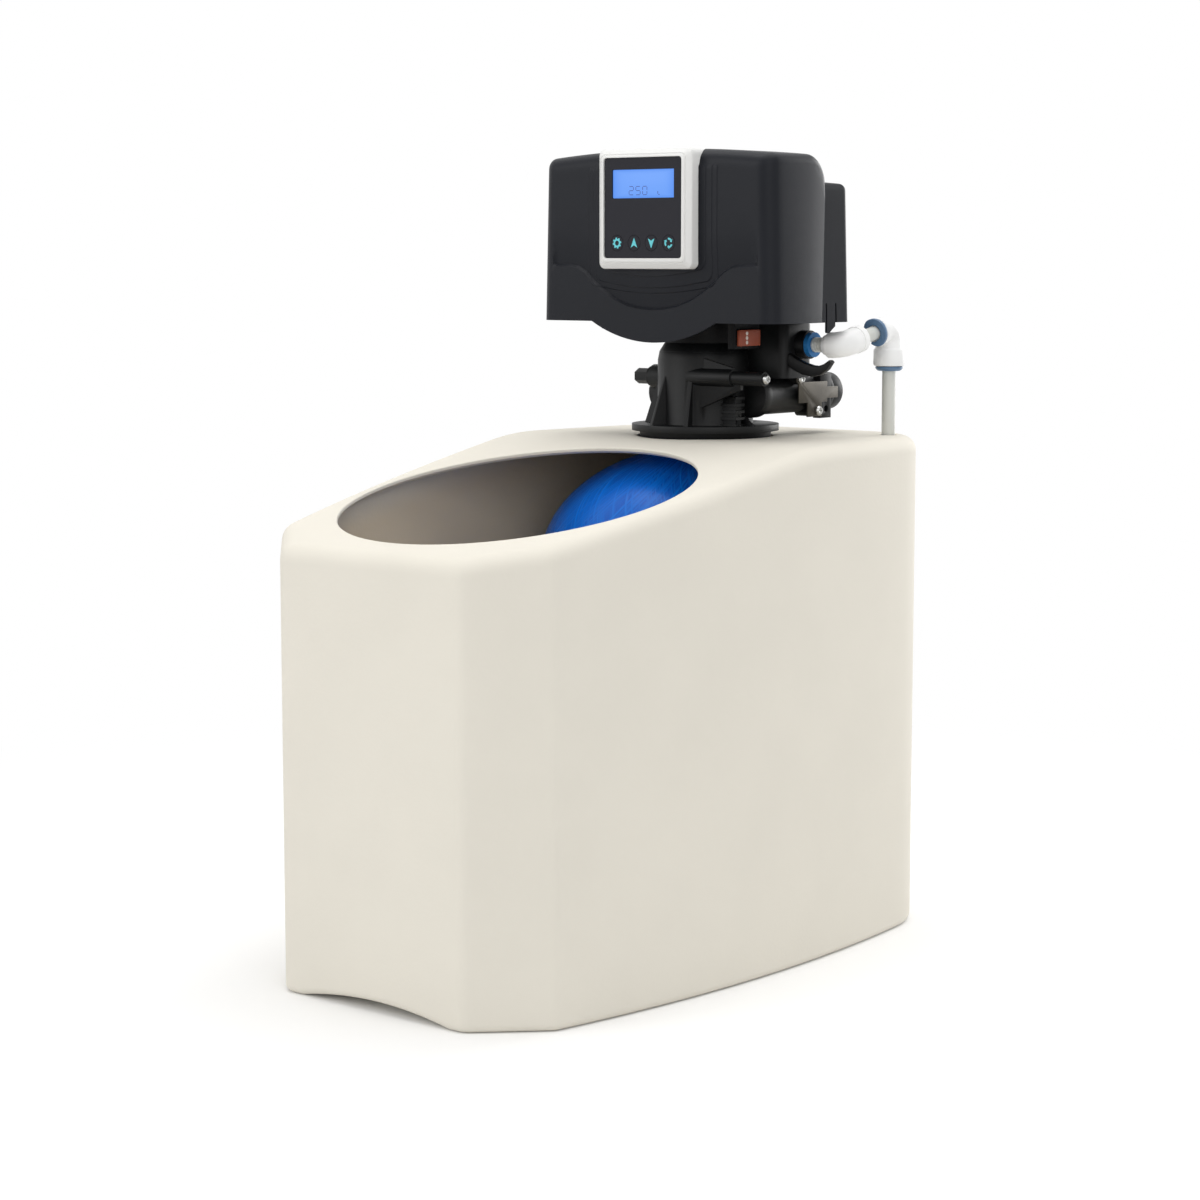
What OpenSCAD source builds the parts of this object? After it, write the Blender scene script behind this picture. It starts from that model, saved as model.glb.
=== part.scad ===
// Cabinet water softener: a moulded salt cabinet with an open round salt mouth, a wound resin
// tank inside it, and a motor-driven control valve with a display head and a brine line on top.
// Millimetres. +Z is up, the display faces -Y, and the origin is on the floor under the middle
// of the cabinet.

/* [Cabinet] */
// Depth of the cabinet, front to back
cabinet_l = 460; // [450:2:480]
// Width of the flat front facet
front_w = 154; // [140:2:166]
// Setback of the two slanted front corners
chamfer = 41; // [34:1:44]
// Room between the tank and each side wall
side_gap = 18; // [15:0.5:24]
// Where the bowed sides are widest, in front of or behind the middle
bow_y = 15; // [0:1:30]
// Wall thickness of the moulding
wall = 4; // [3:0.25:5]
// How far the sloping top drops from the deck to the front edge
slope_drop = 56; // [40:1:66]
// Length of the sloping top, from the front edge
slope_l = 280; // [270:2:296]
// Half length of the bend between slope and deck
slope_blend = 22; // [10:1:26]
// Radius of the front corners in plan
corner_r = 13; // [12:0.5:16]
// Radius of the rear corners in plan
rear_r = 70; // [60:1:76]
// Radius of the rolled top edge
top_r = 10; // [7:0.5:11]
// Radius of the bottom edge
foot_r = 5; // [3:0.5:6]
// Radius of the salt mouth
mouth_r = 118; // [100:1:120]
// Centre of the salt mouth, from the front edge
mouth_y = 139; // [130:1:146]
// Height of the toe arch under the front facet
arch_h = 6.5; // [5:0.5:12]
// Depth of the toe arch, front to back
arch_l = 34; // [20:1:40]

/* [Resin tank] */
// Outer diameter of the wound tank
tank_d = 232; // [224:1:236]
// Height of the tank on its foot, to the top of its neck
tank_h = 340; // [325:1:355]
// Gap between the tank and the rear wall
tank_gap = 3; // [1:0.5:5]
// Height of the tank's top dome
dome_h = 83; // [70:1:90]
// Height of the tank's bottom dome
bottom_dome_h = 72; // [60:1:80]
// Outer radius of the tank neck
neck_r = 44; // [42:0.5:45]
// Bore radius of the tank neck
neck_bore_r = 35; // [34:0.25:36]
// Thickness of the wound glass-fibre skin
winding_t = 3; // [2:0.25:4]
// Thickness of the moulded liner
liner_t = 3.5; // [2.5:0.25:5]
// Outer radius of the riser pipe
riser_r = 13.35; // [12:0.05:14]
// Depth of the resin bed below the top dome's start
resin_drop = 12; // [0:1:40]

/* [Control valve] */
// Radius of the valve's upright barrel
barrel_r = 33.4; // [31:0.2:36]
// Height of the upright barrel above the tank neck
barrel_h = 60; // [58:1:70]
// Radius of the valve's base flange
flange_r = 51.5; // [49:0.5:56]
// Radius of the collar under the flange
collar_r = 46; // [45.5:0.25:47]
// Bore radius of the seal stack
stack_r = 20; // [19:0.25:22]
// Radius of the piston
piston_r = 12.5; // [11:0.25:13.5]
// Stroke of the piston
stroke = 18; // [12:1:20]
// Height of one spacer in the seal stack
spacer_h = 7; // [6.5:0.25:8]
// Height of one seal in the stack
seal_h = 2.4; // [2:0.1:3]
// Half the distance between the inlet and outlet
port_x = 36; // [34:0.5:40]
// Height of the ports above the tank neck
port_z = 30; // [28:0.5:34]
// Outer radius of the port barrels
port_r = 14; // [13.5:0.25:15]
// Thread radius of the inlet and outlet tails, three-quarter inch pipe
tail_r = 13.2; // [12:0.1:13.2]
// How far the tails reach behind the tank's axis
tail_reach = 97; // [94:1:104]

/* [Head] */
// Width of the head cover at its bottom edge
head_w = 205.5; // [194:0.5:212]
// How far the head cover narrows on each side, bottom to top
head_draft = 3; // [1:0.5:8]
// Height of the front cover
head_h = 113; // [108:1:120]
// Depth of the front cover
front_depth = 57.5; // [55:0.5:66]
// How far the front cover's face stands in front of the tank's axis
face_y = 59.5; // [56:0.5:61]
// Depth of the rear cover behind the front cover
rear_depth = 34.5; // [27:0.5:37]
// Height of the cover's bottom edge above the tank neck
head_z = 81; // [80:0.5:86]
// How much the cover's roof rises from its sides to its middle
roof_arch = 5; // [3:0.5:6]
// How far the front cover's rear edge leans back, bottom to top
edge_lean = 6; // [0:0.5:8]
// Wall thickness of the covers
cover_t = 2.5; // [2:0.25:3]
// Width of the display bezel
bezel_w = 81; // [77:0.5:84]
// Height of the display bezel
bezel_h = 81; // [78:0.5:84]
// How far the bezel stands in front of the cover's face
bezel_proud = 11.5; // [9:0.5:14]
// Width and height of the square display panel
panel_w = 67.5; // [65:0.5:69]
// Width of the display window
window_w = 53.8; // [50:0.2:57]
// Height of the display window
window_h = 19.2; // [17:0.2:22]
// Radius of one key
key_r = 5.2; // [4.5:0.1:6]
// Distance between neighbouring keys
key_pitch = 15; // [13.5:0.25:15.5]
// Travel of a key
key_travel = 0.6; // [0.3:0.05:0.7]

/* [Drive] */
// Gear module
gear_m = 1.25; // [1.2:0.01:1.28]
// Teeth of the main gear
main_teeth = 40; // [38:2:40]
// Teeth of the idler gear
idler_teeth = 24; // [24:2:26]
// Teeth of the motor pinion
pinion_teeth = 12; // [12:1:13]
// Face width of the gears
gear_h = 8; // [6:0.5:9]
// Radius of the drive motor
motor_r = 17; // [15:0.5:18]

/* [Brine line] */
// Outer radius of the brine tube, three-eighths inch
tube_r = 4.76; // [4:0.02:5]
// Across from the tank's axis to the brine tube
brine_x = 96; // [94:0.5:98]
// Behind the tank's axis to the brine tube
brine_y = 86; // [85:0.5:88]
// Behind the tank's axis to the valve's brine port
brine_port_y = 28; // [26:0.5:32]
// Height of the brine port above the tank neck
brine_port_z = 65; // [64:0.5:67]
// Upward tilt of the link between the two elbows, in degrees
link_tilt = 11; // [0:1:14]
// Body radius of the push-fit elbows
elbow_r = 9.2; // [8.5:0.1:10]
// Radius of the air check under the brine tube
check_r = 11; // [10:0.25:11.5]
// Height of the air check
check_h = 108; // [90:1:130]
// Radius of the check ball
ball_r = 7.5; // [6:0.25:8]

/* [Hidden] */
$fn = 64;
clear = 0.3;      // gap between pieces that are not a running fit
run = 0.08;       // radial clearance of a running fit
eps = 1;          // how far a cutter passes the face that it opens
tank_r = tank_d / 2;
tank_y = cabinet_l / 2 - wall - tank_gap - tank_r;
half_w = tank_r + side_gap + wall;
line_gap = 1;         // between the tank and the air check, at the least
line_push = max(1, (tank_r + check_r + line_gap) / norm([brine_x, brine_y]));
line_x = brine_x * line_push;
line_y = brine_y * line_push;
neck_z = wall + tank_h;
deck_h = neck_z + 1;
front_y = -cabinet_l / 2;
slope = slope_drop / slope_l;
bend_y = front_y + slope_l;
mouth_c = front_y + mouth_y;

// Placing helpers

// Moves to the tank's axis at the top of the tank neck.
module at_neck(x = 0, y = 0, z = 0) { translate([x, tank_y + y, neck_z + z]) children(); }

// Turns a piece that is drawn along +Z to lie along +X, -X, +Y or -Y.
module to_x() { rotate([0, 90, 0]) children(); }
module to_minus_x() { rotate([0, -90, 0]) children(); }
module to_y() { rotate([-90, 0, 0]) children(); }
module to_minus_y() { rotate([90, 0, 0]) children(); }

module pipe(r, bore, h) {
    difference() {
        cylinder(r = r, h = h);
        translate([0, 0, -eps]) cylinder(r = bore, h = h + 2 * eps);
    }
}

module oring(r, cord_r) { rotate_extrude() translate([r, 0]) circle(r = cord_r, $fn = 24); }

// A pan-head screw: the head stands on z = 0 and the shank goes down.
module screw(head_r, head_h, shank_r, shank_l) {
    slot_w = head_r * 0.32;
    slot_l = head_r * 1.2;
    difference() {
        union() {
            cylinder(r = head_r, h = head_h * 0.5);
            translate([0, 0, head_h * 0.5]) cylinder(r1 = head_r, r2 = head_r * 0.72, h = head_h * 0.5);
            translate([0, 0, -shank_l]) cylinder(r = shank_r, h = shank_l + head_h * 0.25);
        }
        for (a = [0, 90])
            rotate(a) translate([-slot_l / 2, -slot_w / 2, head_h * 0.45])
                cube([slot_l, slot_w, head_h]);
    }
}

// Cabinet

// Side bow: one arc through the end of the slanted corner and the widest point.
side_end = [front_w / 2 + chamfer, front_y + chamfer];
side_r = (pow(bow_y - side_end.y, 2) + pow(half_w - side_end.x, 2)) / (2 * (half_w - side_end.x));
side_c = [half_w - side_r, bow_y];
diag = sqrt(0.5);
front_c = [front_w / 2 - corner_r * (1 / diag - 1), front_y + corner_r];
edge_start = [front_w / 2, front_y] + corner_r * [-diag, diag];
edge_to_side = edge_start - side_c;
edge_along = edge_to_side * [diag, diag];
edge_run = sqrt(pow(edge_along, 2) - edge_to_side * edge_to_side + pow(side_r - corner_r, 2))
    - edge_along;
edge_c = edge_start + edge_run * [diag, diag];
rear_c = [side_c.x + sqrt(pow(side_r - rear_r, 2) - pow(cabinet_l / 2 - rear_r - bow_y, 2)),
          cabinet_l / 2 - rear_r];
edge_a = atan2(edge_c.y - side_c.y, edge_c.x - side_c.x);
rear_a = atan2(rear_c.y - side_c.y, rear_c.x - side_c.x);

corner_steps = 4;
edge_steps = 3;
side_steps = 22;
rear_steps = 9;
roll_steps = 4;
inner_foot_r = 0.5;

function polar(r, a) = r * [cos(a), sin(a)];

function arc(c, r, a0, a1, n) = [for (i = [0:n]) c + polar(r, a0 + (a1 - a0) * i / n)];

// Right half of the plan, from the front facet round to the rear wall, drawn in by an inset.
function half_plan(inset) = concat(
    arc(front_c, corner_r - inset, -90, -45, corner_steps),
    arc(edge_c, corner_r - inset, -45, edge_a, edge_steps),
    [for (i = [1:side_steps - 1])
        side_c + polar(side_r - inset, edge_a + (rear_a - edge_a) * i / side_steps)],
    arc(rear_c, rear_r - inset, rear_a, 90, rear_steps));

function plan(inset) = let (h = half_plan(inset), n = len(h))
    concat(h, [for (i = [n - 1:-1:0]) [-h[i].x, h[i].y]]);

// Height of the top surface: a slope that bends into the level deck.
function top_z(y) = y <= bend_y - slope_blend ? deck_h - slope * (bend_y - y)
    : y >= bend_y + slope_blend ? deck_h
    : deck_h - slope * pow(bend_y + slope_blend - y, 2) / (4 * slope_blend);

// A solid with the cabinet's plan, a rounded foot and a rolled top edge, all drawn in by a skin.
module cabinet_solid(skin) {
    roll = top_r - skin;
    foot = max(foot_r - skin, inner_foot_r);
    turns = [for (i = [0:roll_steps]) 90 * i / roll_steps];
    low = [for (a = turns) skin * [1, 1] + foot * [1 - sin(a), 1 - cos(a)]];
    high = [for (a = turns) skin * [1, 1] + roll * [1 - cos(a), 1 - sin(a)]];
    points = concat(
        [for (l = low) each [for (p = plan(l[0])) [p.x, p.y, l[1]]]],
        [for (l = high) each [for (p = plan(l[0])) [p.x, p.y, top_z(p.y) - l[1]]]]);
    n = len(plan(0));
    rings = len(low) + len(high);
    half = n / 2;
    last = (rings - 1) * n;
    faces = concat(
        [for (k = [0:rings - 2], i = [0:n - 1]) let (a = k * n + i, b = k * n + (i + 1) % n)
            each [[a, a + n, b], [b, a + n, b + n]]],
        [for (i = [0:half - 2]) each [[i, i + 1, n - 1 - i], [i + 1, n - 2 - i, n - 1 - i]]],
        [for (i = [0:half - 2]) each [[last + i, last + n - 1 - i, last + i + 1],
                                      [last + i + 1, last + n - 1 - i, last + n - 2 - i]]]);
    polyhedron(points = points, faces = faces);
}

// The toe arch: a shallow vault with a round crown, drawn out by a skin.
module toe_arch(skin) {
    span = front_w - 2 * corner_r;
    crown_r = (pow(span / 2, 2) + pow(arch_h, 2)) / (2 * arch_h) + skin;
    translate([0, front_y - eps, arch_h + skin - crown_r])
        intersection() {
            to_y() cylinder(r = crown_r, h = arch_l + eps + skin, $fn = 128);
            translate([-span, -eps, 0]) cube([2 * span, arch_l + skin + 3 * eps, crown_r + eps]);
        }
}

overflow_r = 8;
overflow_in = 15.5;    // from the rear corner's centre towards the middle
overflow_drop = 54;    // below the top of the tank neck
overflow_x = overflow_in - rear_c.x;
overflow_z = neck_z - overflow_drop;
collar_gap = 2;
tube_gap = 1.2;

module at_overflow() { translate([overflow_x, cabinet_l / 2, overflow_z]) to_y() children(); }

module cabinet_shell() {
    color("linen") difference() {
        cabinet_solid(0);
        difference() {
            cabinet_solid(wall);
            toe_arch(wall);
        }
        toe_arch(0);
        translate([0, mouth_c, top_z(mouth_c)]) rotate([atan(slope), 0, 0])
            translate([0, 0, -mouth_r / 2]) cylinder(r = mouth_r, h = mouth_r, $fn = 128);
        at_neck(0, 0, -2 * wall) cylinder(r = collar_r + collar_gap, h = 4 * wall);
        at_neck(line_x, line_y, -2 * wall) cylinder(r = tube_r + tube_gap, h = 4 * wall);
        at_overflow() translate([0, 0, -2 * wall]) cylinder(r = overflow_r + clear, h = 4 * wall);
    }
}

spout_r = 7.5;
spout_l = 24;
spout_flange = 3;
spout_lip = 6;
spout_wall = 2;
spout_tail = 6;
spout_shank = wall + spout_tail;
nut_h = 5.5;
nut_lip = 5;

module overflow_spout() {
    color("dimgray") at_overflow() difference() {
        union() {
            translate([0, 0, -spout_shank]) cylinder(r = overflow_r, h = spout_shank + eps);
            cylinder(r = overflow_r + spout_lip, h = spout_flange);
            cylinder(r = spout_r, h = spout_flange + spout_l);
        }
        translate([0, 0, -spout_shank - eps])
            cylinder(r = spout_r - spout_wall, h = spout_shank + spout_flange + spout_l + 2 * eps);
    }
}

module overflow_nut() {
    color("dimgray") at_overflow() translate([0, 0, -wall - nut_h]) difference() {
        cylinder(r = overflow_r + nut_lip, h = nut_h, $fn = 6);
        translate([0, 0, -eps]) cylinder(r = overflow_r + run, h = nut_h + 2 * eps);
    }
}

// Resin tank

neck_h = 12;
tank_lift = 16;     // from the cabinet's floor to the tank's bottom dome
dome_steps = 14;
dome_z = neck_z - neck_h - dome_h * sqrt(1 - pow(neck_r / tank_r, 2));
base_z = wall + tank_lift + bottom_dome_h;

// Half profile of the tank, drawn in by an inset, up to a neck of a given radius.
function tank_profile(inset, neck, top) =
    let (r = tank_r - inset, d = dome_h - inset, b = bottom_dome_h - inset,
         a_end = acos(neck / r), n = dome_steps)
    concat([for (i = [0:n]) [r * sin(90 * i / n), base_z - b * cos(90 * i / n)]],
           [for (i = [0:n]) [r * cos(a_end * i / n), dome_z + d * sin(a_end * i / n)]],
           [[neck, top], [0, top]]);

module tank_solid(inset, neck, top) {
    translate([0, tank_y, 0]) rotate_extrude($fn = 96) polygon(tank_profile(inset, neck, top));
}

liner_gap = 0.2;
liner_out = winding_t + liner_gap;
liner_in = liner_out + liner_t;
winding_neck = neck_r - winding_t;

module tank_winding() {
    color("royalblue") difference() {
        tank_solid(0, neck_r, neck_z);
        tank_solid(winding_t, winding_neck, neck_z + eps);
    }
}

module tank_liner() {
    color("ivory") difference() {
        tank_solid(liner_out, winding_neck - liner_gap, neck_z);
        tank_solid(liner_in, neck_bore_r, neck_z + eps);
    }
}

foot_in = 11.6;     // from the tank's side in to the foot ring's side
foot_ring_r = tank_r - foot_in;
foot_ring_h = 42;
foot_ring_t = 40;
foot_hole_r = 5;
foot_hole_in = 8;

module tank_foot() {
    color("black") difference() {
        translate([0, tank_y, wall]) pipe(foot_ring_r, foot_ring_r - foot_ring_t, foot_ring_h);
        tank_clearance();
        for (a = [45:90:315])
            translate([0, tank_y, wall - eps]) rotate(a) translate([foot_ring_r - foot_hole_in, 0, 0])
                cylinder(r = foot_hole_r, h = foot_ring_h);
    }
}

// The tank's outside with room round it, for cutting its seat.
module tank_clearance() { tank_solid(-clear, neck_r, neck_z); }

riser_up = 4;         // above the top of the tank neck
riser_wall = 2.6;
riser_seat = 8;       // from the strainer's floor up to the riser's end
riser_fit = 0.1;
strainer_r = 21;
strainer_h = 34;
strainer_wall = 2.5;
strainer_floor = 3;
strainer_slot = 1.2;
slot_count = 16;
slot_end = 6;         // solid rim below and above the slots
liner_r = tank_r - liner_in;
strainer_z = base_z - (bottom_dome_h - liner_in) * sqrt(1 - pow(strainer_r / liner_r, 2)) + 2 * clear;
riser_top = neck_z + riser_up;
riser_bottom = strainer_z + riser_seat;

module resin_bed() {
    color("goldenrod") difference() {
        intersection() {
            tank_solid(liner_in + clear, neck_bore_r, neck_z);
            translate([0, tank_y, 0]) cylinder(r = tank_r, h = dome_z - resin_drop);
        }
        translate([0, tank_y, 0]) cylinder(r = riser_r + clear, h = neck_z);
        translate([0, tank_y, 0]) cylinder(r = strainer_r + clear, h = strainer_z + strainer_h + clear);
    }
}

module riser_tube() {
    color("white") translate([0, tank_y, riser_bottom])
        pipe(riser_r, riser_r - riser_wall, riser_top - riser_bottom);
}

// Slots round a strainer of a given height, from inside its wall out.
module strainer_slots(h) {
    for (i = [0:slot_count - 1])
        rotate(i * 360 / slot_count)
            translate([strainer_r - 2 * strainer_wall, -strainer_slot / 2, slot_end])
                cube([strainer_r, strainer_slot, h - 2 * slot_end]);
}

// A slotted basket that closes the lower end of the riser.
module bottom_strainer() {
    color("whitesmoke") translate([0, tank_y, strainer_z]) difference() {
        cylinder(r = strainer_r, h = strainer_h);
        translate([0, 0, strainer_floor])
            cylinder(r = strainer_r - strainer_wall, h = strainer_h - 2 * strainer_floor);
        translate([0, 0, strainer_h - strainer_floor - eps])
            cylinder(r = riser_r + riser_fit, h = strainer_floor + 2 * eps);
        strainer_slots(strainer_h);
    }
}

spigot_l = 28;
spigot_r = neck_bore_r - clear;
top_basket_h = 24;
top_basket_in = 4;    // the basket's top edge, in from the spigot's side

// A slotted cone under the valve's spigot, round the upper end of the riser.
module top_strainer() {
    rim_r = spigot_r - top_basket_in;
    color("whitesmoke") at_neck(0, 0, -spigot_l - top_basket_h) difference() {
        cylinder(r1 = strainer_r, r2 = rim_r, h = top_basket_h);
        translate([0, 0, strainer_floor])
            cylinder(r1 = strainer_r - strainer_wall, r2 = rim_r - strainer_wall, h = top_basket_h);
        translate([0, 0, -eps]) cylinder(r = riser_r + riser_fit, h = top_basket_h + 2 * eps);
        strainer_slots(top_basket_h);
    }
}

neck_ring_r = 2.4;
neck_ring_z = 2;      // below the neck's top to the ring's groove
riser_ring_r = 1.6;
riser_ring_z = 6;     // above the spigot's end to the ring's middle
ring_gap = 0.1;

module neck_orings() {
    color("black") {
        at_neck(0, 0, -neck_ring_r - neck_ring_z)
            oring(spigot_r - neck_ring_r + ring_gap, neck_ring_r - 1.5 * ring_gap);
        at_neck(0, 0, -spigot_l + riser_ring_z) oring(riser_r + riser_ring_r + ring_gap, riser_ring_r);
    }
}

// Control valve

collar_h = 5;
flange_h = 4.5;
stack_z = 10;
shoulder_h = 6;
shoulder_r = barrel_r - 1.2;
riser_socket_h = 6;
riser_gap = 0.3;
passage_r = 9;
spacer_n = 4;
stack_top = stack_z + (spacer_n + 1) * seal_h + spacer_n * spacer_h;
stack_fit = 0.1;
gusset_t = 3;
gusset_h = 34;
gusset_l = 14;
gusset_top = 3;
gusset_in = 3;        // how far a gusset reaches into the barrel
port_root = 1;        // behind the tank's axis, where the port barrels start
port_ring_l = 8;
bridge_y = [12, 38];  // the block that joins the two port barrels
bridge_h = 18;
cross_y = 22;         // the passages from the stack to the ports
cross_r = 5;
port_passage_r = 8;
passage_start = 16;
drain_z = 41;
drain_boss_l = 20;
drain_boss_in = 8;
drain_bore_l = 40;
drain_boss_r = 8.6;
drain_bore_r = 4;
injector_y = -27;
injector_z = 43;
injector_out = 72;
injector_step = 46;
injector_r = 6.2;
injector_step_r = 1.4;
injector_root = 8;
injector_bore_r = 2.6;
injector_bore_x = 12;
injector_rib = [16, 36, 3, 24];   // start, length, thickness and height of the rib under it
injector_rib_rise = 14;           // how far its low edge rises outward
port_end = 78;
port_wall = 2.5;
port_bore_r = port_r - port_wall;
tail_bore_r = 8.6;
tail_fit = 0.2;
seat_y = 52;
brine_barrel_r = 9.8;
brine_out = 70;
brine_gap = 1.5;
brine_in = sqrt(pow(barrel_r, 2) - pow(brine_port_y - brine_barrel_r, 2)) + brine_gap;
brine_rib = [15, 16];
brine_bore_in = 4;
base_screw_r = 25.2;
base_screw_n = 4;
screw_shank = 2;
screw_fit = 0.1;
screw_head_r = 3.4;
screw_head_h = 2.4;
base_screw_hole = 14;
stem_fit = 0.15;

module at_port(side, y) { at_neck(side * port_x, y, port_z) to_y() children(); }
module at_injector(x) { at_neck(x, injector_y, injector_z) to_x() children(); }
module at_drain(x) { at_neck(-x, 0, drain_z) to_minus_x() children(); }
module at_brine_port(x) { at_neck(x, brine_port_y, brine_port_z) to_x() children(); }

// Places children at the four screws that hold the head's base on the barrel.
module at_base_screws(z) {
    for (i = [0:base_screw_n - 1])
        at_neck(0, 0, z) rotate(45 + i * 360 / base_screw_n) translate([base_screw_r, 0, 0]) children();
}

module valve_blank() {
    at_neck(0, 0, -spigot_l) cylinder(r = spigot_r, h = spigot_l + collar_h);
    at_neck() cylinder(r = collar_r, h = collar_h);
    at_neck(0, 0, collar_h) cylinder(r = flange_r, h = flange_h);
    at_neck(0, 0, collar_h + eps) cylinder(r = barrel_r, h = barrel_h - shoulder_h - collar_h - eps);
    at_neck(0, 0, barrel_h - shoulder_h) cylinder(r1 = barrel_r, r2 = shoulder_r, h = shoulder_h);
    for (side = [-1, 1]) {
        at_port(side, port_root) cylinder(r = port_r, h = port_end - port_root);
        for (y = [port_root, port_end - port_ring_l])
            at_port(side, y) cylinder(r = tail_collar_r, h = port_ring_l);
        for (s = clip_screw_spots)
            at_neck(side * port_x, s[0], s[1]) rotate([0, side * 90, 0])
                cylinder(r = clip_boss_r, h = clip_face - port_x);
        at_neck(0, port_end - bracket_l, bracket_z) mirror([side < 0 ? 1 : 0, 0, 0])
            translate([port_x + bracket_in, 0, 0])
                cube([clip_face - clear - port_x - bracket_in, bracket_l, bracket_h]);
    }
    at_neck(-port_x, bridge_y[0], port_z - bridge_h / 2)
        cube([2 * port_x, bridge_y[1] - bridge_y[0], bridge_h]);
    for (a = [200, 250, 290, 340])
        at_neck(0, 0, collar_h + flange_h - eps / 2) rotate(a)
            translate([barrel_r - gusset_in, gusset_t / 2, 0]) to_minus_y() linear_extrude(gusset_t)
                polygon([[0, 0], [gusset_l, 0], [gusset_top, gusset_h], [0, gusset_h]]);
    at_drain(barrel_r - drain_boss_in) cylinder(r = drain_boss_r, h = drain_boss_l);
    at_injector(injector_root) cylinder(r = injector_r, h = injector_step - injector_root);
    at_injector(injector_step - eps)
        cylinder(r = injector_r - injector_step_r, h = injector_out - injector_step + eps);
    at_neck(injector_rib[0], injector_y + injector_rib[2] / 2, injector_z + 2 - injector_rib[3])
        to_minus_y() linear_extrude(injector_rib[2])
            polygon([[0, 0], [injector_rib[1], injector_rib_rise], [injector_rib[1], injector_rib[3]],
                     [0, injector_rib[3]]]);
    at_brine_port(brine_in) cylinder(r = brine_barrel_r, h = brine_out - brine_in);
    at_neck(brine_in, brine_port_y - brine_rib[1] / 2, port_z)
        cube([brine_rib[0], brine_rib[1], brine_port_z - port_z]);
}

module valve_body() {
    color("#1c1d1f") difference() {
        valve_blank();
        at_neck(0, 0, stack_z) cylinder(r = stack_r, h = barrel_h);
        at_neck(0, 0, -spigot_l - eps) cylinder(r = passage_r, h = spigot_l + stack_z + 2 * eps);
        at_neck(0, 0, -spigot_l - eps)
            cylinder(r = riser_r + riser_gap, h = spigot_l + riser_socket_h + eps);
        at_neck(0, 0, -spigot_l + riser_ring_z - riser_ring_r - 2 * ring_gap)
            cylinder(r = riser_r + 2 * riser_ring_r + 4 * ring_gap, h = 2 * riser_ring_r + 4 * ring_gap);
        at_neck(0, 0, -2 * neck_ring_r - neck_ring_z)
            pipe(spigot_r + neck_ring_r, spigot_r - 2 * neck_ring_r, 2 * neck_ring_r);
        for (side = [-1, 1]) {
            at_port(side, seat_y) cylinder(r = port_bore_r, h = port_end);
            at_port(side, passage_start) cylinder(r = port_passage_r, h = seat_y);
            at_neck(side * (port_x + tail_collar_r - bracket_hole_r), port_end - bracket_hole[0],
                    bracket_z + bracket_hole[1])
                rotate([0, side * 90, 0]) cylinder(r = bracket_hole_r, h = bracket_in, $fn = 24);
            at_neck(side * (stack_r - cross_r), cross_y, port_z) rotate([0, side * 90, 0])
                cylinder(r = cross_r, h = port_x - stack_r + cross_r);
        }
        at_drain(stack_r - drain_bore_r / 2) cylinder(r = drain_bore_r, h = drain_bore_l);
        at_drain(drain_face) cylinder(r = drain_hex_r + drain_flange + clear, h = drain_out);
        at_injector(injector_bore_x) cylinder(r = injector_bore_r, h = injector_out);
        at_brine_port(brine_in + brine_bore_in) cylinder(r = tube_r + stem_fit, h = brine_out);
        at_base_screws(barrel_h - base_screw_hole)
            cylinder(r = screw_shank + screw_fit, h = base_screw_hole + eps, $fn = 24);
        for (side = [-1, 1], s = clip_screw_spots)
            at_neck(side * (clip_face - clip_screw_l), s[0], s[1]) rotate([0, side * 90, 0])
                cylinder(r = screw_shank + screw_fit, h = clip_screw_l + eps, $fn = 24);
    }
}

spacer_gap = 2.5;
spacer_port = 5;
spacer_rim = 1.4;

module stack_spacers() {
    color("lightgray") at_neck(0, 0, stack_z) for (i = [0:spacer_n - 1])
        translate([0, 0, seal_h + i * (spacer_h + seal_h)]) difference() {
            pipe(stack_r - stack_fit, piston_r + spacer_gap, spacer_h);
            for (a = [0:60:300])
                rotate(a) translate([0, -spacer_port / 2, spacer_rim])
                    cube([stack_r + eps, spacer_port, spacer_h - 2 * spacer_rim]);
        }
}

module stack_seals() {
    color("black") at_neck(0, 0, stack_z) for (i = [0:spacer_n])
        translate([0, 0, i * (spacer_h + seal_h)]) pipe(stack_r - stack_fit, piston_r + run, seal_h);
}

piston_room = 2;      // under and over the piston at the ends of its stroke
piston_z = stack_z + piston_room;
piston_h = stack_top - stack_z - stroke - 2 * piston_room;
waist_in = 4;
waist_z = 6.3;
waist_h = 5.4;
rod_r = 4;
rod_fit = 0.05;
rod_top = 108;
rod_insert = 7;
rod_z = piston_z + piston_h - rod_insert;

module piston() {
    color("dimgray") at_neck(0, 0, piston_z) difference() {
        cylinder(r = piston_r, h = piston_h);
        translate([0, 0, waist_z]) pipe(piston_r + eps, piston_r - waist_in, waist_h);
        translate([0, 0, piston_h - rod_insert]) cylinder(r = rod_r + rod_fit, h = rod_insert + eps);
    }
}

module piston_rod() {
    color("silver") at_neck(0, 0, rod_z) cylinder(r = rod_r, h = rod_top - rod_z);
}

cap_h = barrel_h - stack_top;
cap_flange_h = 6;
cap_top_r = barrel_r - 5;
rod_seal_t = 4.4;
rod_seal_h = 4;
rod_seal_gap = 0.2;

module valve_cap() {
    color("#242528") difference() {
        union() {
            at_neck(0, 0, stack_top) cylinder(r = stack_r - stack_fit, h = cap_h + eps);
            at_neck(0, 0, barrel_h) cylinder(r1 = shoulder_r, r2 = cap_top_r, h = cap_flange_h);
        }
        at_neck(0, 0, stack_top - eps) cylinder(r = rod_r + run, h = cap_h + cap_flange_h + 2 * eps);
        at_neck(0, 0, barrel_h + cap_flange_h - rod_seal_h)
            cylinder(r = rod_r + rod_seal_t, h = rod_seal_h + eps);
        at_base_screws(barrel_h - eps)
            cylinder(r = screw_shank + screw_fit, h = cap_flange_h + 2 * eps, $fn = 24);
    }
}

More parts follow.
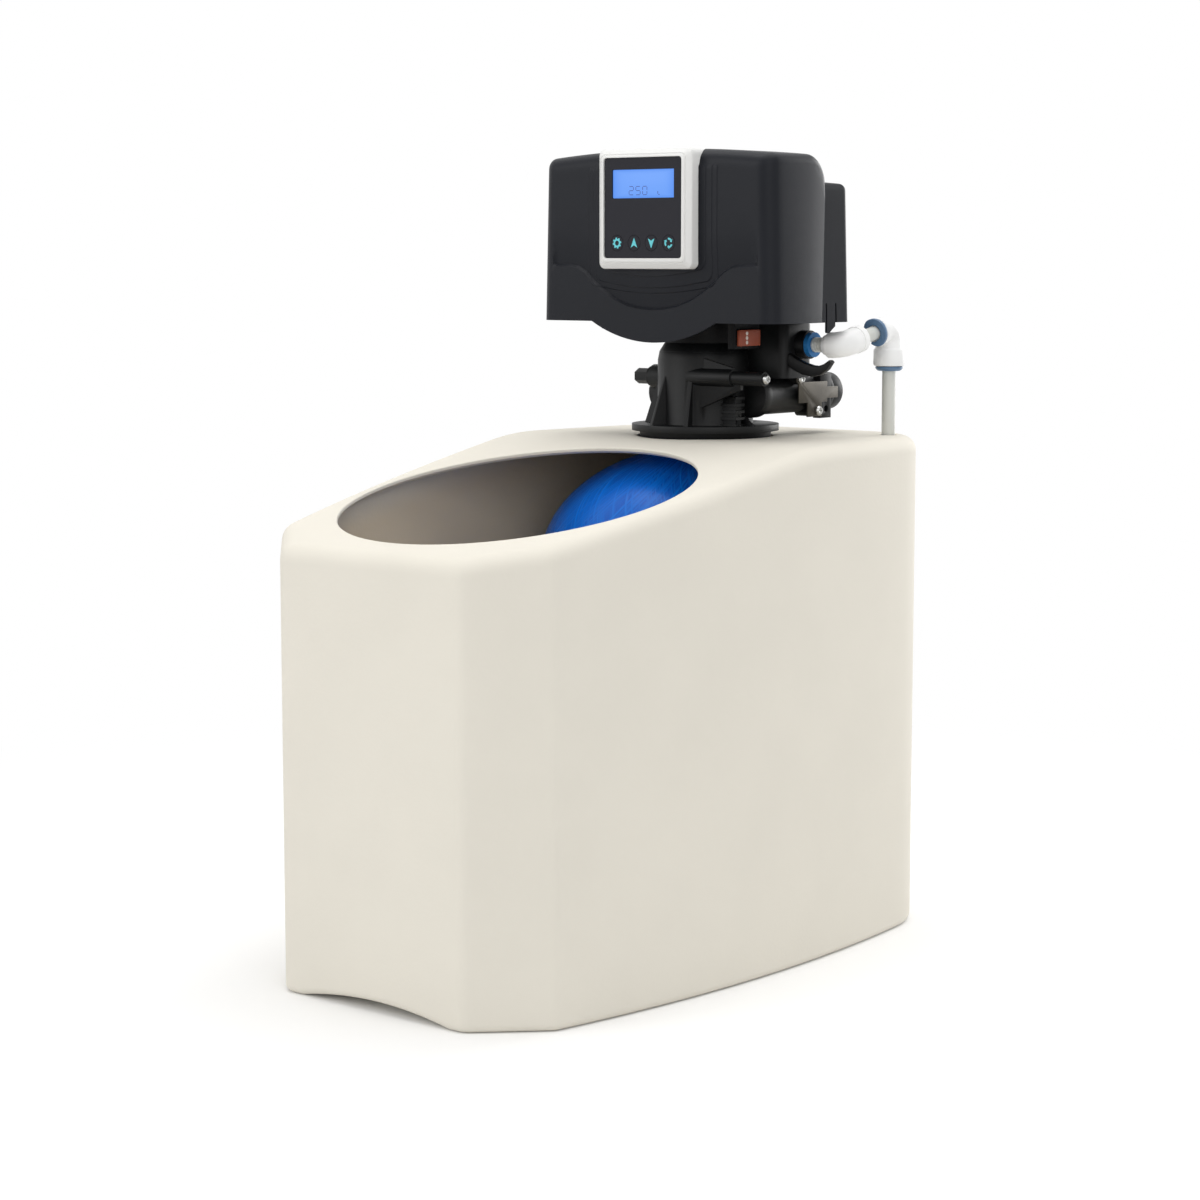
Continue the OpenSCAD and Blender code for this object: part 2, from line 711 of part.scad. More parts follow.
module rod_seal() {
    color("black") at_neck(0, 0, barrel_h + cap_flange_h - rod_seal_h)
        pipe(rod_r + rod_seal_t - rod_seal_gap, rod_r + run, rod_seal_h - 2 * rod_seal_gap);
}

nozzle_x = 30;
nozzle_l = 24;
nozzle_fit = 0.1;
throat_r = [0.7, 1.6];
plug_head_h = 2.6;
plug_l = 14;

module injector_nozzle() {
    color("white") at_injector(nozzle_x) difference() {
        cylinder(r = injector_bore_r - nozzle_fit, h = nozzle_l);
        translate([0, 0, -eps]) cylinder(r1 = throat_r[0], r2 = throat_r[1], h = nozzle_l + 2 * eps);
    }
}

module injector_plug() {
    color("silver") at_injector(injector_out)
        screw(screw_head_r, plug_head_h, injector_bore_r - nozzle_fit, plug_l);
}

drain_face = barrel_r - drain_boss_in + drain_boss_l;
drain_fit = 0.1;
drain_flange = 1.6;
drain_flange_h = 3;
drain_way_r = 2;
washer_bore_r = 1.6;
washer_h = 4;
drain_hex_r = 5.6;
drain_out = 15;
drain_tube_r = 3.2;
drain_socket_l = 12;
drain_spigot_l = 18;

// The drain connector: a hexagon with a socket for the drain tube, on a spigot in the valve.
module drain_connector() {
    color("#1c1d1f") difference() {
        union() {
            at_drain(drain_face - drain_spigot_l)
                cylinder(r = drain_bore_r - drain_fit, h = drain_spigot_l + eps);
            at_drain(drain_face) cylinder(r = drain_hex_r + drain_flange, h = drain_flange_h);
            at_drain(drain_face) cylinder(r = drain_hex_r, h = drain_out, $fn = 6);
        }
        at_drain(drain_face - drain_spigot_l - eps)
            cylinder(r = drain_way_r, h = drain_spigot_l + drain_out);
        at_drain(drain_face + drain_out - drain_socket_l)
            cylinder(r = drain_tube_r, h = drain_socket_l + eps);
    }
}

module drain_washer() {
    color("black") at_drain(drain_face - drain_spigot_l - washer_h)
        pipe(drain_bore_r - drain_fit, washer_bore_r, washer_h);
}

// Inlet and outlet tails, their clips and the flow meter

clip_t = 1.2;
tail_gap = 4;         // from the port's seat to the tail's end
tail_seat = seat_y + tail_gap;
tail_collar = 5;
tail_lip = 1.8;
tail_collar_r = port_r + tail_lip;
tail_wall = 2;
tail_neck_r = tail_bore_r + tail_wall;
thread_y = port_end + tail_collar + clip_t + 3 * clear;
tail_cord_r = 0.85;
cord_gap = 0.05;
groove_w = 2 * tail_cord_r + clear;
groove_r = port_bore_r - tail_fit - 2 * tail_cord_r;
groove_start = 5;
groove_pitch = 8;
tail_grooves = [for (i = [0, 1]) tail_seat + groove_start + i * groove_pitch];

module tail(side) {
    color("#1c1d1f") difference() {
        union() {
            at_port(side, tail_seat) cylinder(r = port_bore_r - tail_fit, h = port_end - tail_seat + 1);
            at_port(side, port_end) cylinder(r = tail_collar_r, h = tail_collar);
            at_port(side, port_end + 1) cylinder(r = tail_neck_r, h = tail_reach - port_end - 1);
            at_port(side, thread_y) cylinder(r = tail_r, h = tail_reach - thread_y);
        }
        at_port(side, tail_seat - eps) cylinder(r = tail_bore_r, h = tail_reach);
        for (y = tail_grooves)
            at_port(side, y) pipe(port_r, groove_r, groove_w);
    }
}

module inlet_tail() { tail(-1); }
module outlet_tail() { tail(1); }

module tail_orings() {
    color("black") for (side = [-1, 1], y = tail_grooves)
        at_port(side, y + groove_w / 2) oring(groove_r + tail_cord_r + cord_gap, tail_cord_r);
}

clip_face = port_x + tail_collar_r + 2 * clear;
clip_y = 37.5;
clip_len = 34;
clip_finger = 8;
clip_z = port_z - 6.5;
clip_h = 14.5;
clip_tab = [17, 12];       // width and height of the tab under the plate
clip_tab_y = clip_y + 10.5;
clip_tab_z = clip_z - 10;
clip_boss_r = 4.2;
clip_hole_fit = 0.15;
clip_screw_l = 8;
clip_screw_in = [[1.5, 17.3], [12.4, 4.1]];   // from the lower corners of the plate and its tab
clip_screw_spots = [[clip_y, clip_z] + clip_screw_in[0], [clip_tab_y, clip_tab_z] + clip_screw_in[1]];
bracket_l = 13;            // the bracket beside each port's end
bracket_h = 31;
bracket_z = 12;
bracket_in = 10;           // from the port's axis
bracket_hole_r = 2.4;
bracket_hole = [6, 6.5];   // back from the port's end, and up from the bracket's foot

// A flat steel clip on one port, with a finger whose bent lip holds the tail's collar.
module clip_plate() {
    lip_y = port_end + tail_collar + clear;
    at_neck(clip_face, 0, 0) rotate([90, 0, 90]) linear_extrude(clip_t)
        difference() {
            union() {
                translate([clip_y, clip_z]) square([clip_len, clip_h]);
                translate([clip_tab_y, clip_tab_z]) square(clip_tab);
                translate([clip_y, port_z - clip_finger / 2])
                    square([lip_y + clip_t - clip_y, clip_finger]);
                translate(clip_screw_spots[0]) circle(r = clip_boss_r);
            }
            for (s = clip_screw_spots) translate(s) circle(r = screw_shank + clip_hole_fit);
        }
    lip_x = port_x + tail_neck_r + 2 * clear;
    at_neck(lip_x, lip_y, port_z - clip_finger / 2)
        cube([clip_face + clip_t - lip_x, clip_t, clip_finger]);
}

module tail_clips() {
    color("lightslategray") for (side = [0, 1]) mirror([side, 0, 0]) clip_plate();
}

module clip_screws() {
    color("silver") for (side = [-1, 1], s = clip_screw_spots)
        at_neck(side * (clip_face + clip_t), s[0], s[1]) rotate([0, side * 90, 0])
            screw(screw_head_r, screw_head_h, screw_shank, clip_screw_l);
}

turbine_r = 6.6;
turbine_gap = 0.6;
cage_r = tail_bore_r - tail_fit;
cage_l = 16;
cage_y = tail_seat + 6;
cage_bar = 2;
cage_hub_r = 2.4;
cage_in = 0.4;
axle_r = 1;

module turbine_cage() {
    color("white") at_port(1, cage_y) difference() {
        union() {
            pipe(cage_r, turbine_r + turbine_gap, cage_l);
            for (z = [0, cage_l - cage_bar]) translate([0, 0, z]) {
                cylinder(r = cage_hub_r, h = cage_bar);
                for (a = [0, 90]) rotate(a) translate([-cage_r + cage_in, -cage_bar / 2, 0])
                    cube([2 * (cage_r - cage_in), cage_bar, cage_bar]);
            }
        }
        translate([0, 0, -eps]) cylinder(r = axle_r + run, h = cage_l + 2 * eps);
    }
}

blade_count = 5;
blade_t = 1.2;
blade_h = 6.8;
blade_root = 1.6;
blade_pitch = 35;
hub_r = 2.2;
hub_end = cage_bar + 0.4;

module turbine() {
    color("skyblue") at_port(1, cage_y) {
        cylinder(r = axle_r, h = cage_l);
        translate([0, 0, hub_end]) cylinder(r = hub_r, h = cage_l - 2 * hub_end);
        for (i = [0:blade_count - 1])
            rotate(i * 360 / blade_count) translate([blade_root, 0, cage_l / 2])
                rotate([blade_pitch, 0, 0]) translate([0, -blade_t / 2, -blade_h / 2])
                    cube([turbine_r - blade_root - clear, blade_t, blade_h]);
    }
}

// Drive

base_up = 1;          // from the cover's bottom edge up to the base plate
base_z_up = head_z + base_up;
base_t = 4;
gear_lift = 3;
gear_z = base_z_up + base_t + gear_lift;
hub_z = base_z_up + base_t + clear;
backlash = 0.25;
main_r = gear_m * main_teeth / 2;
idler_r = gear_m * idler_teeth / 2;
pinion_r = gear_m * pinion_teeth / 2;
idler_dir = 217;
pinion_dir = 180;
idler_pos = (main_r + idler_r) * [cos(idler_dir), sin(idler_dir)];
pinion_pos = idler_pos + (idler_r + pinion_r) * [cos(pinion_dir), sin(pinion_dir)];
idler_phase = idler_dir + 180 + 180 / idler_teeth;
pinion_phase = pinion_dir + 180 + 180 / pinion_teeth
    - (idler_phase - pinion_dir) * idler_teeth / pinion_teeth;
pressure = 20;        // pressure angle, in degrees
tooth_root = 1.15;    // in modules, below the pitch circle
tooth_flank = 0.9;
tooth_tip = 0.8;

function involute(base, r) = let (a = acos(min(1, base / r))) tan(a) * 180 / PI - a;

// Half the angle that a tooth takes at a radius.
function half_tooth(teeth, r) = let (p = gear_m * teeth / 2, base = p * cos(pressure))
    90 / teeth - backlash / p * 90 / PI + involute(base, p) - involute(base, max(r, base));

module gear_face(teeth) {
    p = gear_m * teeth / 2;
    flank = max(p * cos(pressure), p - tooth_flank * gear_m);
    radii = [p - tooth_root * gear_m, flank, p, p + tooth_tip * gear_m];
    polygon([for (i = [0:teeth - 1]) let (a = i * 360 / teeth) each concat(
        [for (k = [0:3]) polar(radii[k], a - half_tooth(teeth, radii[k]))],
        [for (k = [3:-1:0]) polar(radii[k], a + half_tooth(teeth, radii[k]))])]);
}

hub_up = 6 - gear_lift;   // how far the hubs stand above the gears
main_hub_r = 8.5;
lightening_r = 3.4;
lightening_at = 15;
idler_hub_r = 5;
pin_r = 2.5;
pin_head_r = 3.6;
pin_head_h = 1.4;

// A gear with a hub under and over it, bored for its shaft.
module hubbed_gear(teeth, phase, hub, shaft) {
    difference() {
        union() {
            translate([0, 0, gear_z]) rotate(phase) linear_extrude(gear_h) gear_face(teeth);
            translate([0, 0, hub_z]) cylinder(r = hub, h = gear_z + gear_h + hub_up - hub_z);
        }
        translate([0, 0, hub_z - eps]) cylinder(r = shaft + run, h = gear_z + gear_h + hub_up);
        children();
    }
}

module main_gear() {
    color("whitesmoke") at_neck() hubbed_gear(main_teeth, idler_dir, main_hub_r, rod_r)
        for (a = [0:60:300])
            rotate(a) translate([lightening_at, 0, gear_z - eps])
                cylinder(r = lightening_r, h = gear_h + 2 * eps);
}

module idler_gear() {
    color("whitesmoke") at_neck(idler_pos.x, idler_pos.y)
        hubbed_gear(idler_teeth, idler_phase, idler_hub_r, pin_r);
}

module idler_pin() {
    head_z_up = gear_z + gear_h + hub_up + clear;
    color("silver") at_neck(idler_pos.x, idler_pos.y) {
        translate([0, 0, base_z_up]) cylinder(r = pin_r, h = head_z_up - base_z_up + pin_head_h);
        translate([0, 0, head_z_up]) cylinder(r = pin_head_r, h = pin_head_h);
    }
}

motor_up = 3;
motor_z = gear_z + gear_h + motor_up;
motor_h = 30;
ear_r = 20;
ear_w = 10;
ear_end = 4;
ear_t = 2.2;
shaft_r = 1.5;
motor_boss = [5, 3];      // radius and height of the boss on the motor's back
motor_hole_r = 1.6;
motor_screw = [2.6, 2, 1.5, 10];

module motor_pinion() {
    color("whitesmoke") at_neck(pinion_pos.x, pinion_pos.y) difference() {
        translate([0, 0, gear_z - eps]) rotate(pinion_phase) linear_extrude(gear_h + 2 * eps)
            gear_face(pinion_teeth);
        translate([0, 0, gear_z - 2 * eps]) cylinder(r = shaft_r + run, h = gear_h + 4 * eps);
    }
}

module motor() {
    color("silver") at_neck(pinion_pos.x, pinion_pos.y, motor_z) difference() {
        union() {
            translate([0, 0, ear_t - eps / 4]) cylinder(r = motor_r, h = motor_h);
            translate([-ear_w / 2, -ear_r - ear_end, 0]) cube([ear_w, 2 * (ear_r + ear_end), ear_t]);
            translate([0, 0, gear_z - motor_z]) cylinder(r = shaft_r, h = motor_z - gear_z + ear_t);
            translate([0, 0, motor_h]) cylinder(r = motor_boss[0], h = ear_t + motor_boss[1]);
        }
        for (s = [-1, 1]) translate([0, s * ear_r, -eps])
            cylinder(r = motor_hole_r, h = ear_t + 2 * eps, $fn = 24);
    }
}

module motor_screws() {
    color("silver") at_neck(pinion_pos.x, pinion_pos.y, motor_z + ear_t)
        for (s = [-1, 1]) translate([0, s * ear_r, 0])
            screw(motor_screw[0], motor_screw[1], motor_screw[2], motor_screw[3]);
}

// Head base, covers and display

face_at = -face_y;
head_back = face_at + front_depth;
rear_back = head_back + rear_depth;
lap = 4;
rear_half = head_w / 2 - cover_t - clear;
pedestal_r = cap_top_r - 0.2;
rod_way_r = 9.2;
pin_fit = 0.02;
pillar_r = 3.6;
base_screw_l = 11;    // how far the base's screws reach into the barrel
tag_y = -32.5;
tag_l = 23;
tag_t = 3;
tag_h = 11;
tag_drop = 16;        // from the cover's bottom edge down to the tag's
lug_x = 52;
lug_t = 6;
lug_rim = 2;
cover_screw = [2.8, 2, 1.3, 12];
cover_screw_fit = 0.1;
base_gap = 1.5;       // beside and behind the base plate, inside the covers

module head_base() {
    base_x = rear_half - cover_t - base_gap;
    base_front = face_at + cover_t + base_gap;
    base_rear = rear_back - cover_t - base_gap;
    color("#1c1d1f") difference() {
        union() {
            at_neck(-base_x, base_front + face_r, base_z_up)
                cube([2 * base_x, base_rear - rear_corner_r - base_front - face_r, base_t]);
            at_neck(-base_x + face_r, base_front, base_z_up)
                cube([2 * (base_x - face_r), base_rear - base_front, base_t]);
            at_neck(0, 0, barrel_h + cap_flange_h)
                cylinder(r = pedestal_r, h = base_z_up - barrel_h - cap_flange_h + eps);
            for (s = [-1, 1])
                at_neck(pinion_pos.x, pinion_pos.y + s * ear_r, base_z_up)
                    cylinder(r = pillar_r, h = motor_z - base_z_up);
            at_neck(lug_x - lug_t, tag_y - lug_rim, head_z - tag_drop - lug_rim)
                cube([lug_t, tag_l + 2 * lug_rim, tag_drop + lug_rim + base_up + eps]);
        }
        at_neck(0, 0, barrel_h) cylinder(r = rod_way_r, h = head_z);
        at_neck(-pedestal_r, base_rear, head_z - clear)
            cube([2 * pedestal_r, pedestal_r, base_up + base_t]);
        at_neck(idler_pos.x, idler_pos.y, base_z_up - eps)
            cylinder(r = pin_r + pin_fit, h = base_t + 2 * eps);
        at_base_screws(barrel_h) cylinder(r = screw_shank + screw_fit, h = head_z, $fn = 24);
        for (s = [-1, 1])
            at_neck(pinion_pos.x, pinion_pos.y + s * ear_r, motor_z + ear_t - motor_screw[3] - eps)
                cylinder(r = motor_hole_r, h = motor_screw[3] + eps, $fn = 24);
        for (s = [-1, 1])
            at_neck(s * cover_screw_x, rear_back - cover_screw[3] - eps, base_z_up + base_t / 2) to_y()
                cylinder(r = cover_screw[2] + cover_screw_fit, h = cover_screw[3] + 2 * eps, $fn = 24);
    }
}

module base_screws() {
    color("silver") at_base_screws(base_z_up + base_t)
        screw(screw_head_r, screw_head_h, screw_shank, base_z_up + base_t - barrel_h + base_screw_l);
}

module marker_tag() {
    color("sienna") at_neck(lug_x, tag_y, head_z - tag_drop) cube([tag_t, tag_l, tag_h]);
}

top_roll = 9.5;
face_r = 9.2;
crown_r = 16;
arch_steps = [-1, -0.6, -0.2, 0.2, 0.6, 1];
arch_base = 0.8;      // share of the arch that rises above the cover's height
rear_h = head_h - roof_arch * (1 - arch_base) - crown_r - cover_t - clear;

// Height of the roof above the cover's bottom edge, from the middle (0) to a side (1).
function roof_z(s) = head_h + roof_arch * (arch_base - s * s);

// The front cover's outside, drawn in by an inset; its rear and bottom run past by a margin.
module cover_form(inset, past) {
    foot_x = head_w / 2 - inset;
    roof_x = head_w / 2 - head_draft - inset;
    roof_back = head_back + edge_lean;
    hull($fn = 32) {
        for (s = [-1, 1]) {
            translate([s * (foot_x - face_r), face_at + inset + face_r, head_z - past])
                cylinder(r = face_r, h = 1);
            translate([s * (foot_x - 0.5) - 0.5, head_back - 1, head_z - past]) cube([1, 1 + past, 0.6]);
        }
        for (s = arch_steps) {
            roof = head_z + roof_z(s) - inset;
            translate([s * (roof_x - top_roll), face_at + inset + top_roll, roof - top_roll])
                sphere(r = top_roll);
            translate([s * (roof_x - 0.5) - 0.5, roof_back - crown_r, roof - crown_r])
                intersection() {
                    to_x() cylinder(r = crown_r, h = 1);
                    translate([-1, -crown_r, 0]) cube([3, 2 * crown_r, crown_r]);
                }
            translate([s * (roof_x - 0.5) - 0.5, roof_back - 1, roof - crown_r - 1])
                cube([1, 1 + past, 1]);
        }
    }
}

bezel_over = 4;       // how far the bezel stands above the cover's top
bezel_z = head_z + head_h - bezel_h + bezel_over;
bezel_slot = 12;
apron_w = 108;
apron_h = 14;
apron_in = 0.2;

module front_cover() {
    color("#2b2d31") difference() {
        union() {
            at_neck() difference() {
                cover_form(0, 0);
                cover_form(cover_t, 2);
            }
            at_neck(0, face_at + apron_in, head_z - apron_h) apron();
        }
        at_neck(-bezel_w / 2 - clear, face_at - eps, bezel_z - clear)
            cube([bezel_w + 2 * clear, bezel_slot, bezel_h + crown_r]);
    }
}

// The tongue under the front cover that hides the valve's cap.
module apron() {
    r = (pow(apron_w / 2, 2) + pow(apron_h, 2)) / (2 * apron_h);
    intersection() {
        translate([0, 0, r]) to_y() cylinder(r = r, h = cover_t, $fn = 128);
        translate([-apron_w, -eps, -eps]) cube([2 * apron_w, cover_t + 2 * eps, apron_h + cover_t]);
    }
}

rear_corner_r = 3.5;
roof_fall = 0.3;      // how far the rear cover's roof falls towards the front

// The rear cover's outside, drawn in by an inset; the front and bottom run past by a margin.
module rear_form(inset, past) {
    r = rear_corner_r;
    y0 = head_back - lap - past;
    half = rear_half - inset;
    roof_half = half - head_draft;
    hull($fn = 32) {
        for (s = [-1, 1]) {
            translate([s * (half - r), rear_back - inset - r, head_z - past]) cylinder(r = r, h = 1);
            translate([s * half - 0.5 - s * 0.5, y0, head_z - past]) cube([1, 1, 1]);
        }
        for (s = arch_steps) {
            roof = head_z + rear_h + roof_arch * (1 - s * s) - inset;
            translate([s * (roof_half - r), rear_back - inset - r, roof - r]) sphere(r = r);
            translate([s * (roof_half - 0.5) - 0.5, y0, roof - roof_fall - 1]) cube([1, 1, 1]);
        }
    }
}

cover_screw_x = 62;
socket_x = -30;
socket_z = head_z + 24;
socket_r = 5.6;
socket_fit = 0.1;
socket_l = 12;
socket_lip = 1.6;
socket_lip_h = 1.2;
jack_r = 2.75;
jack_l = 9;

module rear_cover() {
    color("#2b2d31") difference() {
        at_neck() difference() {
            rear_form(0, 0);
            rear_form(cover_t, 2);
        }
        for (s = [-1, 1])
            at_neck(s * cover_screw_x, rear_back - 2 * cover_t, base_z_up + base_t / 2) to_y()
                cylinder(r = cover_screw[2] + 4 * cover_screw_fit, h = 4 * cover_t, $fn = 24);
        at_neck(socket_x, rear_back - 2 * cover_t, socket_z) to_y()
            cylinder(r = socket_r + socket_fit, h = 4 * cover_t);
    }
}

module cover_screws() {
    color("silver") for (s = [-1, 1])
        at_neck(s * cover_screw_x, rear_back, base_z_up + base_t / 2) to_y()
            screw(cover_screw[0], cover_screw[1], cover_screw[2], cover_screw[3]);
}

module power_socket() {
    color("black") at_neck(socket_x, rear_back, socket_z) to_y() difference() {
        union() {
            translate([0, 0, -socket_l]) cylinder(r = socket_r, h = socket_l + eps);
            cylinder(r = socket_r + socket_lip, h = socket_lip_h);
        }
        translate([0, 0, -jack_l]) cylinder(r = jack_r, h = jack_l + 2 * socket_lip_h);
    }
}

bezel_front = face_at - bezel_proud;
bezel_in = 10;        // how far the bezel reaches in behind the cover's face
bezel_depth = bezel_proud + bezel_in;
bezel_round = 3;
bezel_slant = [5.5, 3.4];   // how far the frame's front is drawn in, and how deep that is
panel_in = 1;
panel_t = 1.7;
panel_up = 0.6;       // from the bezel's middle up to the panel's
bezel_mid = bezel_z + bezel_h / 2;
panel_z = bezel_mid + panel_up;
ledge = 2.3;          // behind the panel's top and bottom edges
lcd_rim = 1.2;
lcd_gap = 0.1;
lens_in = 0.7;
lens_t = 2;
board_in = 13;        // from the bezel's front to the circuit board
board_y = bezel_front + board_in;
board_t = 1.6;
key_count = 4;
key_up_z = 10.15;      // from the panel's bottom edge up to the keys
key_z = panel_z - panel_w / 2 + key_up_z;
key_lip = 0.8;
key_lip_t = 1;
stem_r = 2;
window_drop = 17.55;  // from the panel's top edge down to the window's middle
window_z = panel_z + panel_w / 2 - window_drop;
switch_w = 6;
switch_t = 1.6;
switch_up = 2;        // from the circuit board to the top of a switch
plunger_r = 1.6;
key_span = (key_count - 1) * key_pitch / 2;
well_w = 2 * (max(window_w / 2 + lcd_rim, key_span + key_r + key_lip) + clear);
well_h = panel_w - 2 * ledge;

// Places children at the bezel's four round corners, drawn in by an inset.
module at_bezel_corners(y, inset) {
    for (x = [-1, 1], z = [-1, 1])
        translate([x * (bezel_w / 2 - bezel_round - inset), y,
                   bezel_mid + z * (bezel_h / 2 - bezel_round - inset)])
            to_y() children();
}

module display_bezel() {
    color("gainsboro") at_neck(0, bezel_front, 0) difference() {
        hull($fn = 32) {
            at_bezel_corners(0, bezel_slant[0]) cylinder(r = bezel_round, h = bezel_depth);
            at_bezel_corners(bezel_slant[1], 0) cylinder(r = bezel_round, h = bezel_depth - bezel_slant[1]);
        }
        translate([-panel_w / 2 - clear, -eps, panel_z - panel_w / 2 - clear])
            cube([panel_w + 2 * clear, panel_in + panel_t + eps, panel_w + 2 * clear]);
        translate([-well_w / 2, 0, panel_z - well_h / 2]) cube([well_w, bezel_depth + eps, well_h]);
    }
}

module at_keys(y) {
    for (i = [0:key_count - 1]) at_neck(i * key_pitch - key_span, y, key_z) to_y() children();
}

module display_panel() {
    color("#131416") difference() {
        at_neck(-panel_w / 2, bezel_front + panel_in, panel_z - panel_w / 2)
            cube([panel_w, panel_t, panel_w]);
        at_neck(-window_w / 2, bezel_front, window_z - window_h / 2)
            cube([window_w, 2 * panel_t + panel_in, window_h]);
        at_keys(bezel_front) cylinder(r = key_r + clear, h = panel_in + 2 * panel_t);
    }
}

module lcd_module() {
    frame_in = panel_in + panel_t + lcd_gap;
    color("cornflowerblue") {
        at_neck(-window_w / 2 + clear, bezel_front + panel_in + lens_in, window_z - window_h / 2 + clear)
            cube([window_w - 2 * clear, lens_t, window_h - 2 * clear]);
        at_neck(-window_w / 2 - lcd_rim, bezel_front + frame_in, window_z - window_h / 2 - lcd_rim)
            cube([window_w + 2 * lcd_rim, board_in - frame_in, window_h + 2 * lcd_rim]);
    }
}

module circuit_board() {
    color("darkgreen") at_neck(-well_w / 2 + clear, board_y, panel_z - well_h / 2 + clear)
        cube([well_w - 2 * clear, board_t, well_h - 2 * clear]);
}

module key_switches() {
    color("gray") at_keys(board_y - switch_up) union() {
        translate([-switch_w / 2, -switch_w / 2, switch_up - switch_t])
            cube([switch_w, switch_w, switch_t]);
        cylinder(r = plunger_r, h = switch_up / 2, $fn = 24);
    }
}

// One key: a cap flush in the panel, a collar behind it and a stem to its switch.
module key(i) {
    back = panel_in + panel_t;
    stem_l = board_in - back - switch_up - key_travel - lcd_gap;
    color("#131416") at_neck(i * key_pitch - key_span, bezel_front, key_z) to_y() {
        translate([0, 0, panel_in]) cylinder(r = key_r, h = panel_t + key_lip_t);
        translate([0, 0, back + lcd_gap]) cylinder(r = key_r + key_lip, h = key_lip_t);
        translate([0, 0, back]) cylinder(r = stem_r, h = stem_l);
    }
}

module key_settings() { key(0); }
module key_up() { key(1); }
module key_down() { key(2); }
module key_regenerate() { key(3); }

// Brine line

collet_r = 8.6;
collet_l = 3.6;
stem_start = 40;
neck_start = 9;       // from the collet to the stem elbow's neck
neck_in = 2.4;
elbow_in = 0.4;       // the legs are this much thinner than the bends
step_back = 20;       // from the link's end back to the thick leg
link_y = line_y - brine_port_y;
link_rise = link_y * tan(link_tilt);
link_len = link_y / cos(link_tilt);
socket_reach = 17;
leg_drop = 27;
insert = 14;
insert_gap = 2;
nut_up = 0.6;
nut_l = 11;
push_fit = 0.1;
ring_h = 2.8;
ring_up = 0.3;        // the locking clips are this much wider than the collet
ring_mouth = 35;      // half the opening of a locking clip, in degrees
clip_turn = 200;      // which way the link's locking clip opens, in degrees

module at_elbow() { at_neck(line_x, brine_port_y, brine_port_z) children(); }
module at_link() { at_elbow() rotate([link_tilt - 90, 0, 0]) children(); }
module at_corner() { at_neck(line_x, line_y, brine_port_z + link_rise) children(); }

module port_collet() {
    color("dodgerblue") at_brine_port(brine_out) pipe(collet_r, tube_r + clear, collet_l);
}

// Stem into the valve, a round bend and a short stem into the second elbow.
module stem_elbow() {
    link_end = link_len - socket_reach;
    neck_x = brine_out + collet_l + neck_start;
    color("white") {
        at_brine_port(stem_start) cylinder(r = tube_r, h = line_x - stem_start);
        at_brine_port(neck_x) cylinder(r = elbow_r - neck_in, h = line_x - neck_x);
        at_elbow() sphere(r = elbow_r);
        at_link() cylinder(r = elbow_r - elbow_in, h = link_end - step_back);
        at_link() cylinder(r = tube_r, h = link_end + insert - insert_gap);
    }
}

module tube_elbow() {
    color("white") difference() {
        union() {
            at_corner() sphere(r = elbow_r);
            at_corner() rotate([link_tilt + 90, 0, 0]) cylinder(r = elbow_r - elbow_in, h = socket_reach);
            at_corner() translate([0, 0, -leg_drop]) cylinder(r = elbow_r - elbow_in, h = leg_drop);
            at_corner() translate([0, 0, -leg_drop]) cylinder(r = elbow_r + nut_up, h = nut_l);
        }
        at_corner() rotate([link_tilt + 90, 0, 0]) translate([0, 0, socket_reach - insert])
            cylinder(r = tube_r + push_fit, h = insert + eps);
        at_corner() translate([0, 0, -leg_drop - eps]) cylinder(r = tube_r + push_fit, h = insert + eps);
    }
}

// A C-shaped clip that locks a push-fit collet.
module locking_clip() {
    difference() {
        pipe(collet_r + ring_up, tube_r + clear, ring_h);
        translate([0, 0, -eps]) linear_extrude(ring_h + 2 * eps)
            polygon([[0, 0], polar(2 * collet_r, -ring_mouth), polar(2 * collet_r, ring_mouth)]);
    }
}

module locking_clips() {
    color("dodgerblue") {
        at_corner() rotate([link_tilt + 90, 0, 0]) translate([0, 0, socket_reach])
            rotate(clip_turn) locking_clip();
        at_corner() translate([0, 0, -leg_drop - ring_h]) rotate(60) locking_clip();
    }
}

tube_wall = 1.6;
tube_top = brine_port_z + link_rise - leg_drop + insert - eps;
check_z = wall - neck_z;
cap_seat = 12;
tube_end = check_z + check_h - cap_seat;

module brine_tube() {
    color("darkgray") at_neck(line_x, line_y, tube_end)
        pipe(tube_r, tube_r - tube_wall, tube_top - tube_end);
}

check_wall = 1.8;
seat_z = 14;
seat_t = 4;
seat_in = 2.4;
seat_r = ball_r - seat_in;
ball_gap = 0.15;
ball_z = seat_z + sqrt(pow(ball_r, 2) - pow(seat_r, 2)) + ball_gap;
foot_slot = [2.4, 6, 2];     // width, height and lift of the slots at the foot
cap_lip = 0.6;
cap_rim_h = 7.2;
cap_wall = 3.4;

module check_body() {
    color("whitesmoke") at_neck(line_x, line_y, check_z) difference() {
        union() {
            pipe(check_r, check_r - check_wall, check_h - cap_seat);
            translate([0, 0, seat_z - seat_t]) pipe(check_r - check_wall / 2, seat_r, seat_t);
        }
        for (a = [0:60:300]) rotate(a) translate([0, -foot_slot[0] / 2, foot_slot[2]])
            cube([check_r + eps, foot_slot[0], foot_slot[1]]);
    }
}

module check_cap() {
    color("#1c1d1f") at_neck(line_x, line_y, check_z + check_h - cap_seat) difference() {
        union() {
            cylinder(r = check_r + cap_lip, h = cap_rim_h);
            cylinder(r = tube_r + cap_wall, h = cap_seat);
        }
        translate([0, 0, -eps]) cylinder(r = tube_r + push_fit, h = cap_seat + 2 * eps);
    }
}

module check_ball() {
    color("orange") at_neck(line_x, line_y, check_z + ball_z) sphere(r = ball_r);
}

